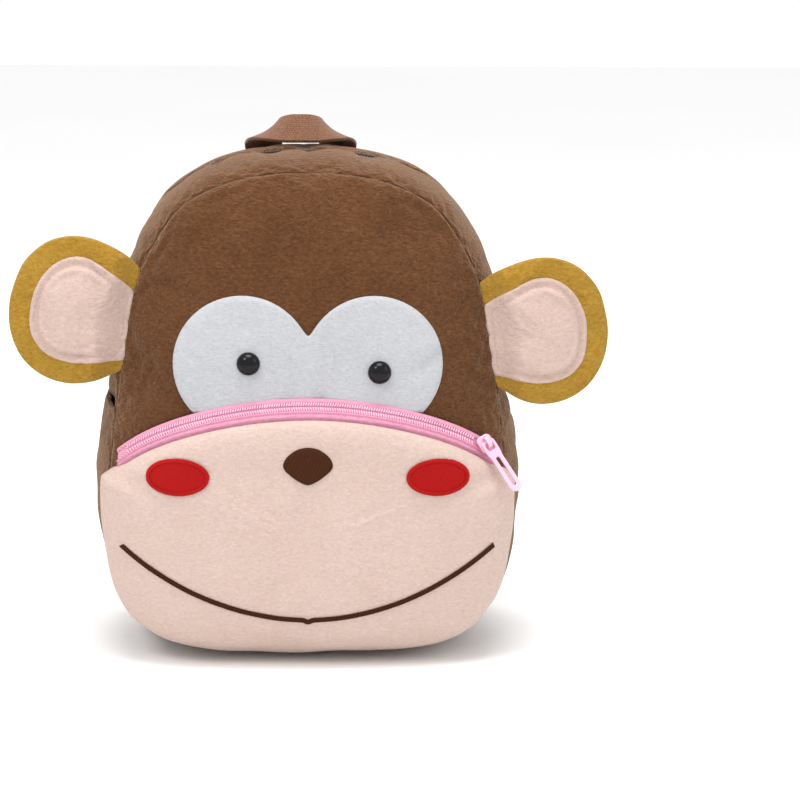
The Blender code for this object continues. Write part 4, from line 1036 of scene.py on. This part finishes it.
def make_pull():
    lift = SLIDER_BODY / 2 + PULL_BAR / 2 + 2 * GAP
    placed = slider_frame() @ Matrix.Translation((0.0, 0.0, lift))
    start = -PULL_BAR / 2
    head = PULL_WIDTH / 2
    tip = PULL_TIP_WIDTH / 2
    shoulder = [(start, head * 0.8), (start + 0.0004, head * 0.95), (start + 0.0015, head), (0.0055, head),
                (0.0070, head * 0.96), (0.009, tip)]
    sweep = np.linspace(0.0, math.pi, 19)
    end = [(PULL_LENGTH - tip + tip * math.sin(a), -tip * math.cos(a)) for a in sweep]
    outline = [(x, -y) for x, y in shoulder] + end + shoulder[::-1]
    ring = round_box(0.0042, PULL_WIDTH - 2 * PULL_BAR, 0.0012, (PULL_BAR / 2 + 0.0021, 0.0), 5)
    slot = round_box(PULL_LENGTH - 0.0125, 0.0022, 0.0010, (PULL_LENGTH / 2 + 0.0030, 0.0), 6)
    loops = [outline, ring, slot]
    pull = outline_piece("pocket_zip_pull_loop", loops, PULL_WALL, 0.00045, "pink_enamel", placed)
    dress(pull, "pink_enamel", "pocket_zip_pull", body="zip_pull")


# Face

def applique(name, outline, centre, tree, height, edge, finish, rings=14, hump=0.0):
    """A cut or stitched shape that lies on a surface; its rim rolls down over the last edge metres."""
    outline = np.array(outline)
    centre = np.array(centre)
    span = float(np.mean(np.linalg.norm(outline - centre, axis=1)))
    reaches = 1.0 - np.linspace(0.0, 1.0, rings + 1)[:-1] ** 1.5
    rows = []
    for j, reach in enumerate(reaches):
        row = []
        depth = (1.0 - reach) * span
        lift = height * min(1.0, depth / edge) ** 0.5 + hump * (1.0 - reach ** 2)
        for p in outline:
            x, z = centre + reach * (p - centre)
            row.append(on_surface(tree, x, z, lift - (0.0006 if j == 0 else 0.0)))
        rows.append(row)
    return grid_piece(name, rows, finish, closed=True, pole=on_surface(tree, *centre, height + hump))


def eye_patch_outline():
    """Two round lobes with a soft notch between them above; below, the pocket zip cuts them straight."""
    outline = []
    centre = (0.001, 0.1505)
    for angle in turns(240):
        across, up = math.cos(angle), math.sin(angle)
        reaches = []
        for lobe_x in (-LOBE_X, LOBE_X):
            dx = lobe_x - centre[0]
            dz = LOBE_Z - centre[1]
            along = dx * across + dz * up
            off = dx * dx + dz * dz - along * along
            reaches.append(max(0.001, along + math.sqrt(max(0.0, LOBE_RADIUS ** 2 - off))))
        reach = sum(r ** 5 for r in reaches) ** 0.2
        if up < 0:
            reach = max(reach, min(0.03, 0.012 / -up))
        for trial in np.linspace(0.003, reach, 160):
            if centre[1] + trial * up < pocket_zip_z(centre[0] + trial * across) - 0.001:
                reach = trial
                break
        outline.append((centre[0] + reach * across, centre[1] + reach * up))
    return outline, centre


def make_eyes(panel_tree):
    outline, centre = eye_patch_outline()
    patch = applique("eye_patch_plush", outline, centre, panel_tree, 0.0015, 0.0022, "white_plush", 30)
    dress(patch, "white_plush", "eye_patch")
    patch_tree = shown_tree(patch)
    for side in ("left", "right"):
        x, z = EYE_CENTRES[side]
        at, _ = front_hit(patch_tree, x, z)
        front_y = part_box("eye_" + side)[0].y
        normal = Vector((x * 0.9, -0.35, (z - PANEL_CENTRE_Z) * 0.5)).normalized()
        radius = EYE_DIAMETER / 2
        height = max(0.0035, at.y - front_y)
        placed = face_frame(at + normal * -0.0002, Vector((1.0, 0.0, 0.0)), normal)
        profile = [(radius * math.sin(a), height * math.cos(a)) for a in np.linspace(0.06, math.pi / 2, 14)]
        profile += [(radius * 0.96, -0.0006), (radius * 0.80, -0.0008)]
        rows = [[placed @ Vector((r * math.cos(t), r * math.sin(t), h)) for t in turns(48)]
                for r, h in reversed(profile)]
        front, back = (placed @ Vector((0.0, 0.0, h)) for h in (height, profile[-1][1]))
        bead = grid_piece("eye_bead_" + side, rows, "black_bead", closed=True, pole=front, first_pole=back)
        dress(bead, "black_bead", "eye_" + side)


def stitched_border(name, outline, tree, width, pitch, lift, finish, slot):
    """A ring of short satin stitches laid across an edge."""
    line = np.vstack([outline, outline[:1]])
    count = int(lengths_along(line)[-1] / pitch)
    points = even_points(line, np.linspace(0.0, 1.0, count + 1)[:-1])
    runs = []
    for k, p in enumerate(points):
        along = points[(k + 1) % count] - points[k - 1]
        along = along / np.linalg.norm(along)
        out = np.array([along[1], -along[0]])
        jitter = 0.12 * waver((k * 1.7, 0.0, 0.0), 1.0, 3.0)
        ends = []
        for side in (-0.5, 0.5):
            x, z = p + out * width * side * (1 + jitter) + along * pitch * 0.35 * side
            ends.append(on_surface(tree, x, z, lift * (0.55 if side > 0 else 0.8)))
        runs.append(ends)
    return dress(rods(name, runs, finish, pitch * 0.62, 5), slot)


def make_face(muzzle_tree):
    nose_line = [(a * NOSE_WIDTH / 2, NOSE_Z + b * NOSE_HEIGHT / 2) for a, b in NOSE_OUTLINE]
    nose = applique("nose_stitching", smooth_line(nose_line, 8, closed=True)[::-1], (0.0, NOSE_Z), muzzle_tree,
                    0.0014, 0.0018, "dark_brown_thread", 12, 0.0004)
    dress(nose, "dark_brown_thread", "nose")
    for side, sign in (("left", -1), ("right", 1)):
        middle = np.array((sign * CHEEK_X, CHEEK_Z))
        oval = middle + np.array([(CHEEK_WIDTH / 2 * math.cos(a), CHEEK_HEIGHT / 2 * math.sin(a)) for a in turns(96)])
        felt = applique("cheek_felt_" + side, oval, middle, muzzle_tree, 0.0011, 0.0012, "red_felt", 10)
        dress(felt, "red_felt", "cheek_" + side)
        inner = middle + (oval - middle) * 0.955
        stitched_border("cheek_border_" + side, inner, muzzle_tree, 0.0021, 0.00042, 0.0016, "red_thread", "red_felt")
    make_smile(muzzle_tree)


def make_smile(muzzle_tree):
    """Embroidered smile: close slanted stitches with a small point where the two runs meet."""
    line = []
    for x in np.linspace(-SMILE_HALF, SMILE_HALF, 400):
        z = SMILE_Z + SMILE_RISE * (x / SMILE_HALF) ** 2 - 0.0011 * math.exp(-(x / 0.0018) ** 2)
        line.append((x, z))
    line = np.array(line)
    count = int(lengths_along(line)[-1] / SMILE_PITCH)
    points = even_points(line, np.linspace(0.0, 1.0, count))
    runs = []
    for k in range(1, count - 1):
        along = points[k + 1] - points[k - 1]
        along = along / np.linalg.norm(along)
        up = np.array([-along[1], along[0]])
        width = 0.0013 * (1.0 + 0.12 * waver((k * 0.7, 0.0, 0.0), 1.0, 8.0))
        ends = []
        for side in (-1, 1):
            x, z = points[k] + up * width * side + along * 0.00045 * side
            ends.append(on_surface(muzzle_tree, x, z, 0.00045))
        runs.append(ends)
    smile = rods("smile_stitches", runs, "dark_brown_thread", 0.00046, 5)
    dress(smile, "dark_brown_thread", "smile")


# Ears

def ear_point(side, out, up, lift):
    sign = -1 if side == "left" else 1
    root_z, tilt = EAR_PLACES[side]
    lean = math.radians(tilt)
    a = out * EAR_WIDTH
    b = up * EAR_HEIGHT / 2
    x = a * math.cos(lean) - b * math.sin(lean)
    z = root_z + a * math.sin(lean) + b * math.cos(lean)
    root = seam_half_width(z) + 2 * GAP
    middle = seam_half_width(root_z) + 2 * GAP
    follow = max(0.0, 1.0 - out * 3.0)
    x = middle + x + follow * (root - middle + b * math.sin(lean))
    root_y = -(HALF_DEPTH + GAP / 2 + 0.00075)
    forward = 0.5 - 0.5 * math.cos(min(1.0, max(0.0, out) / EAR_ROOT_SHARE) * math.pi)
    return (sign * x, root_y + forward * (EAR_PLANE_Y - root_y) + EAR_SWEEP * out ** 2 - lift, z)


def ear_thickness(out, rim_share):
    """Half thickness: thin where it is sewn in, round at the rim."""
    root = 0.30 + 0.70 * smooth_step(out, 0.0, 0.28)
    return EAR_THICKNESS / 2 * root * max(0.0, 1.0 - rim_share ** 3.0) ** 0.5


def make_ear(side):
    """A stuffed ear: front and back sewn at the rim, quilted by the stitch line inside the pink patch."""
    outline = np.vstack([smooth_line(EAR_OUTLINE, 8), [(0.0, v) for v in (-0.36, 0.0, 0.36)]])
    patch_line = np.vstack([smooth_line(EAR_PATCH_OUTLINE, 8), [(-0.02, v) for v in (-0.28, 0.0, 0.20)]])
    centre = np.array((0.42, 0.0))
    rim_angles, rim_radii = polar_radius(outline[::-1], centre)
    patch_angles, patch_radii = polar_radius(patch_line[::-1], centre)
    inner = list(np.linspace(0.15, EAR_STITCH_SHARE, 9)) + [0.93, 1.0]
    outer = list(np.linspace(0.0, 1.0, 9)[1:])
    rows = []
    marks = {}
    for face, sign in (("front", 1.0), ("back", -1.0)):
        rings = [("patch", r) for r in inner] + [("border", r) for r in outer]
        if face == "back":
            rings = rings[-2::-1]
        for kind, r in rings:
            row = []
            for t in turns(EAR_COLUMNS):
                rim = np.interp(t, rim_angles, rim_radii)
                patch = np.interp(t, patch_angles, patch_radii)
                reach = r * patch if kind == "patch" else patch + r * (rim - patch)
                u, v = centre + reach * np.array((math.cos(t), math.sin(t)))
                share = reach / rim
                thick = ear_thickness(u, share)
                quilt = 1.0
                if kind == "patch":
                    depth = 0.34 * (1.0 if face == "front" else 0.5) * smooth_step(u, 0.10, 0.34)
                    quilt = 1.0 - depth * math.exp(-((r - EAR_STITCH_SHARE) / 0.06) ** 2)
                crease = 0.0016 * math.exp(-((u - 0.16) / 0.10) ** 2 - ((v + 0.10) / 0.22) ** 2)
                rumple = 0.0011 * waver((u * 2.0, v, 0.0), 0.42, 3.0 if side == "left" else 9.0)
                lift = sign * thick * quilt + (rumple - crease) * (1.0 - share ** 6)
                row.append(ear_point(side, u, v, lift))
            if face == "front":
                marks[kind, float(r)] = len(rows)
            rows.append(row)
    first = ear_point(side, *centre, ear_thickness(centre[0], 0.0))
    last = ear_point(side, *centre, -ear_thickness(centre[0], 0.0))
    item = grid_piece("ear_plush_" + side, rows, "yellow_plush", closed=True, pole=last, first_pole=first,
                      flip=side == "right")
    sewn_rows = (marks["border", 1.0], marks["patch", EAR_STITCH_SHARE])
    pinned = [r * EAR_COLUMNS + c for r in sewn_rows for c in range(EAR_COLUMNS)]
    root = [k for k, (x, y, z) in enumerate(vertices(item)) if abs(x) < seam_half_width(z) + 0.009]
    inflate(item, sorted(set(pinned + root)), 5.0, 0.03, 0.0020)
    points = vertices(item)
    grid = points[:len(rows) * EAR_COLUMNS].reshape(len(rows), EAR_COLUMNS, 3)
    refine(item)
    dress(item, "yellow_plush", "ear_" + side, fill=0.6)
    make_ear_patch(side, item, grid, marks, points[-1])


def make_ear_patch(side, ear, grid, marks, centre):
    """The pink patch follows the ear's front; a stitch line runs inside its edge."""
    surface = shown_tree(ear)
    rows = []
    for j in range(marks["patch", 1.0], -1, -1):
        for part in ((0.0, 0.5) if j > 0 else (0.0,)):
            points = grid[j] * (1 - part) + grid[max(0, j - 1)] * part
            row = []
            for p in points:
                place, _ = front_hit(surface, p[0], p[2])
                lift = 0.0010 if rows else 0.0002
                row.append((place or Vector(p)) - Vector((0.0, lift, 0.0)))
            rows.append(row)
    middle, _ = front_hit(surface, centre[0], centre[2])
    patch = grid_piece("ear_patch_plush_" + side, rows, "pale_pink_plush", closed=True,
                       pole=middle - Vector((0.0, 0.0010, 0.0)), flip=side == "right")
    refine(patch)
    dress(patch, "pale_pink_plush", "ear_patch_" + side)
    patch_tree = shown_tree(patch)
    ring = grid[marks["patch", EAR_STITCH_SHARE]]
    loop = np.vstack([ring, ring[:1]])
    count = int(lengths_along(loop)[-1] / 0.0028)
    runs = []
    places = even_points(loop, np.linspace(0.0, 1.0, count * 10 + 1))
    for k in range(count):
        ends = []
        for at in (k * 10 + 1, k * 10 + 8):
            place, _ = front_hit(patch_tree, places[at][0], places[at][2])
            ends.append(place - Vector((0.0, 0.0001, 0.0)))
        runs.append(ends)
    dress(rods("ear_stitches_" + side, runs, "pale_thread", 0.00028, 5), "pale_pink_plush")


# Handle, straps and buckles

def make_handle():
    """A webbing loop whose top is folded over towards the front."""
    leg_y = HALF_DEPTH + GAP / 2 + HANDLE_WALL / 2
    shares = np.linspace(0.0, 1.0, 17)
    right = []
    for section in smooth_line(HANDLE_EDGES, 9):
        right.append([section[:3] + s * (section[3:] - section[:3]) for s in shares])
    left = [[(-x, y, z) for x, y, z in row] for row in right[:0:-1]]
    rows = [[[HANDLE_X + x, y, z] for x, y, z in row] for row in left + right]
    for end in (0, -1):
        foot = [[x, leg_y, seam_top_z(x) + 2 * GAP] for x, _, _ in rows[end]]
        rows[end] = [[x, y, z + 0.0022] for x, y, z in foot]
        lower = [[x, y, z - 0.0035] for x, y, z in foot]
        if end == 0:
            rows = [lower, foot] + rows
        else:
            rows = rows + [foot, lower]
    item = grid_piece("handle_webbing", rows, "brown_webbing", weave=True)
    refine(item)
    wall(item, HANDLE_WALL, 0.0)
    dress(item, "brown_webbing", "handle")


def strap_sections(count):
    line = even_points(smooth_line(STRAP_ROUTE, 10), np.linspace(0.0, 1.0, count))
    sections = []
    for k, point in enumerate(line):
        before = line[max(0, k - 1)]
        after = line[min(len(line) - 1, k + 1)]
        along = Vector(after - before).normalized()
        outward = along.cross(Vector((1.0, 0.0, 0.0))).normalized()
        if outward.y < 0:
            outward = -outward
        across = outward.cross(along).normalized()
        if across.x < 0:
            across = -across
        sections.append((Vector(point), across, outward))
    return sections


def make_strap(side):
    """A padded strap: stuffed tube with a topstitched seam along its inner edge and a narrow lower end."""
    sign = -1 if side == "left" else 1
    count = 96
    around = 32
    sections = strap_sections(count)
    rows = []
    for k, (point, across, outward) in enumerate(sections):
        share = k / (count - 1)
        low = smooth_step(share, 0.90, 1.0)
        width = STRAP_WIDTH / 2 * (1.0 - low * (1.0 - WEBBING * 1.08 / STRAP_WIDTH))
        start = smooth_step(share, -0.02, 0.09)
        thick = STRAP_THICKNESS / 2 * (0.26 + 0.74 * start) * (1.0 - 0.72 * smooth_step(share, 0.93, 1.0))
        row = []
        for t in turns(around):
            a, b = squarish(t, 0.75, 0.85)
            p = point + across * a * width + outward * b * thick
            p.z -= 0.0045 * (1.0 - smooth_step(share, 0.0, 0.10))
            if k == 0:
                p.y = max(p.y, HALF_DEPTH + 0.0020)
            row.append((sign * p.x, p.y, p.z))
        rows.append(row)
    first = sections[0][0]
    last = sections[-1][0]
    item = grid_piece("strap_plush_" + side, rows, "yellow_plush", closed=True,
                      pole=(sign * last.x, last.y, last.z - 0.0004),
                      first_pole=(sign * first.x, first.y, first.z), flip=side == "left")
    seam = around // 2
    pinned = [k * around + seam for k in range(count)]
    pinned += [k * around + c for k in (0, 1, count - 2, count - 1) for c in range(around)]
    inflate(item, pinned, 4.0, 0.025, 0.0020)
    points = vertices(item)
    for k, (point, across, outward) in enumerate(sections):
        for c in range(around):
            index = k * around + c
            offset = Vector((sign * points[index][0], points[index][1], points[index][2])) - point
            a = offset.dot(across)
            b = offset.dot(outward)
            inner = a + STRAP_WIDTH / 2
            groove = 0.0015 * math.exp(-((inner - 0.0055) / 0.0016) ** 2)
            ripple = 0.0006 * waver((k * 0.0022, inner, b), 0.008, 12.0) * math.exp(-abs(inner) / 0.009)
            move = -math.copysign(groove, b) + ripple
            points[index] = points[index] + np.array((sign * outward.x, outward.y, outward.z)) * move
    set_vertices(item, points)
    refine(item)
    dress(item, "yellow_plush", "strap_" + side, fill=0.7)


def rounded_path(points, radius, steps):
    """A polyline in y and z whose corners are arcs."""
    given = [np.array(p, dtype=float) for p in points]
    path = [given[0]]
    for before, corner, after in zip(given, given[1:], given[2:]):
        a = (before - corner) / np.linalg.norm(before - corner)
        b = (after - corner) / np.linalg.norm(after - corner)
        half = 0.5 * math.acos(max(-1.0, min(1.0, float(a @ b))))
        reach = radius / math.tan(half)
        centre = corner + (a + b) / np.linalg.norm(a + b) * radius / math.sin(half)
        start = corner + a * reach - centre
        end = corner + b * reach - centre
        sweep = math.pi - 2 * half
        for k in range(steps + 1):
            t = k / steps
            turned = math.sin((1 - t) * sweep) * start + math.sin(t * sweep) * end
            path.append(centre + turned / math.sin(sweep))
    path.append(given[-1])
    return np.array(path)


def webbing_strip(name, path, centre_x, node_name):
    line = rounded_path(path, 0.0009, 6)
    length = lengths_along(line)[-1]
    fine = even_points(line, np.linspace(0.0, 1.0, int(length / 0.0006)))
    across = centre_x + np.linspace(-1.0, 1.0, 15) * WEBBING / 2
    rows = [[(x, y, z) for x in across] for y, z in fine]
    item = grid_piece(name, rows, "brown_webbing", weave=True)
    wall(item, WEBBING_WALL * 0.86, 0.0)
    dress(item, "brown_webbing", node_name)


def buckle_levels():
    total = 3 * BUCKLE_BAR + 3 * BUCKLE_SLOT + BUCKLE_TONGUE
    levels = {"height": total}
    edge = total / 2
    for number in (1, 2, 3):
        levels["bar_%d" % number] = (edge, edge - BUCKLE_BAR)
        edge -= BUCKLE_BAR
        levels["slot_%d" % number] = (edge, edge - BUCKLE_SLOT)
        edge -= BUCKLE_SLOT
    return levels


def make_buckle(side):
    sign = -1 if side == "left" else 1
    levels = buckle_levels()
    loops = [round_box(BUCKLE_WIDTH, levels["height"], 0.004)]
    for number in (1, 2, 3):
        top, low = levels["slot_%d" % number]
        loops.append(round_box(SLOT_WIDTH, top - low, 0.0009, (0.0, (top + low) / 2), 3))
    upright = Matrix.Translation((sign * BUCKLE_X, BUCKLE_Y, BUCKLE_Z)) @ Matrix.Rotation(math.pi / 2, 4, "X")
    buckle = outline_piece("buckle_ladder_" + side, loops, BUCKLE_WALL, 0.0009, "dark_plastic", upright)
    dress(buckle, "dark_plastic", "buckle_" + side)
    off = BUCKLE_WALL / 2 + GAP + WEBBING_WALL / 2
    inner = BUCKLE_Y - off
    outer = BUCKLE_Y + off
    second = inner - WEBBING_WALL - GAP
    clear = GAP + WEBBING_WALL / 2
    strap_end = STRAP_ROUTE[-1][2] - 0.0015 - GAP
    strap_y = STRAP_ROUTE[-1][1]
    spread = (WEBBING_WALL + GAP) / 2
    over_two = BUCKLE_Z + levels["bar_2"][0] + clear
    under_two = BUCKLE_Z + levels["bar_2"][1] - clear
    tucked = strap_end + 0.004
    bent = strap_end - 0.0010
    slanted = strap_end - 0.0055
    upper = [
        (strap_y + spread, tucked), (strap_y + spread, bent), (inner, slanted), (inner, over_two), (outer, over_two),
        (outer, under_two), (second, under_two), (second, slanted), (strap_y - spread, bent),
        (strap_y - spread, tucked),
    ]
    webbing_strip("webbing_upper_" + side, upper, sign * BUCKLE_X, "web_upper_" + side)
    over_three = BUCKLE_Z + levels["bar_3"][0] + clear
    under_three = BUCKLE_Z + levels["bar_3"][1] - clear
    floor = WEBBING_WALL / 2
    root_y = HALF_DEPTH + GAP / 2 + 0.0015 + GAP
    low_edge = BUCKLE_Z - levels["height"] / 2
    lower = [
        (root_y, 0.0092), (root_y + 0.006, 0.0092), (root_y + 0.016, floor), (BUCKLE_Y + 0.0195, floor),
        (BUCKLE_Y + 0.0200, floor + 0.0035), (inner, low_edge - 0.002), (inner, under_three),
        (outer, under_three), (outer, over_three), (second, over_three), (second, low_edge + 0.001),
    ]
    webbing_strip("webbing_lower_" + side, lower, sign * BUCKLE_X, "web_lower_" + side)


# Floor, lights and camera

def make_stage():
    bpy.ops.mesh.primitive_plane_add(size=6.0, location=(0.0, 0.5, -0.0002))
    floor = bpy.context.active_object
    floor.name = "studio_floor"
    made, tree, shader = new_material("studio_floor", 0.9, 0.1)
    stops = [(0.3, (0.93, 0.93, 0.93)), (0.7, (0.95, 0.95, 0.95))]
    tone = ramp(tree, grain(tree, object_point(tree), 2.0), stops)
    tree.links.new(tone, shader.inputs["Base Color"])
    floor.data.materials.append(made)


def area_light(name, place, aim, size, power):
    data = bpy.data.lights.new(name, "AREA")
    data.shape = "DISK"
    data.size = size
    data.energy = power
    lamp = add_object(name, data)
    lamp.location = place
    lamp.rotation_euler = (Vector(aim) - Vector(place)).to_track_quat("-Z", "Y").to_euler()


def make_lights():
    middle = (0.0, 0.0, 0.13)
    area_light("key_left", (-0.70, -0.75, 1.15), middle, 0.5, 5.0)
    area_light("fill_right", (1.05, -0.55, 0.75), middle, 0.7, 1.5)
    area_light("top_soft", (0.00, -0.20, 1.30), middle, 0.8, 11.0)
    area_light("back_soft", (0.10, 1.25, 0.65), middle, 0.9, 3.0)
    world = bpy.context.scene.world or bpy.data.worlds.new("studio")
    bpy.context.scene.world = world
    world.use_nodes = True
    sky = world.node_tree.nodes["Background"]
    sky.inputs["Color"].default_value = (1.0, 1.0, 1.0, 1.0)
    sky.inputs["Strength"].default_value = 1.0
    bpy.context.scene.view_settings.view_transform = "Standard"


def make_camera():
    """The photograph's view: 12 degrees above the bag's middle, which sits left of the frame's centre."""
    elevation = math.radians(12.0)
    distance = 1.5
    target = Vector((0.0, -0.045, 0.130))
    place = target + distance * Vector((0.0, -math.cos(elevation), math.sin(elevation)))
    data = bpy.data.cameras.new("photo_view")
    data.lens = FOCAL_PIXELS / PICTURE_PIXELS * SENSOR_MM
    data.sensor_width = SENSOR_MM
    camera = add_object("photo_view", data)
    camera.location = place
    turn = (target - place).to_track_quat("-Z", "Y").to_matrix().to_4x4()
    aside = Matrix.Rotation(-math.atan(92.0 / FOCAL_PIXELS), 4, "Y")
    above = Matrix.Rotation(math.atan(15.0 / FOCAL_PIXELS), 4, "X")
    camera.rotation_euler = (turn @ aside @ above).to_euler()
    bpy.context.scene.camera = camera


make_camera()
make_stage()
make_lights()
make_body()
make_eyes(shown_tree(bpy.data.objects["front_panel_plush"]))
make_face(shown_tree(make_muzzle()))
make_pocket_zip()
make_slider()
make_pull()
make_handle()
for side in ("left", "right"):
    make_ear(side)
    make_strap(side)
    make_buckle(side)
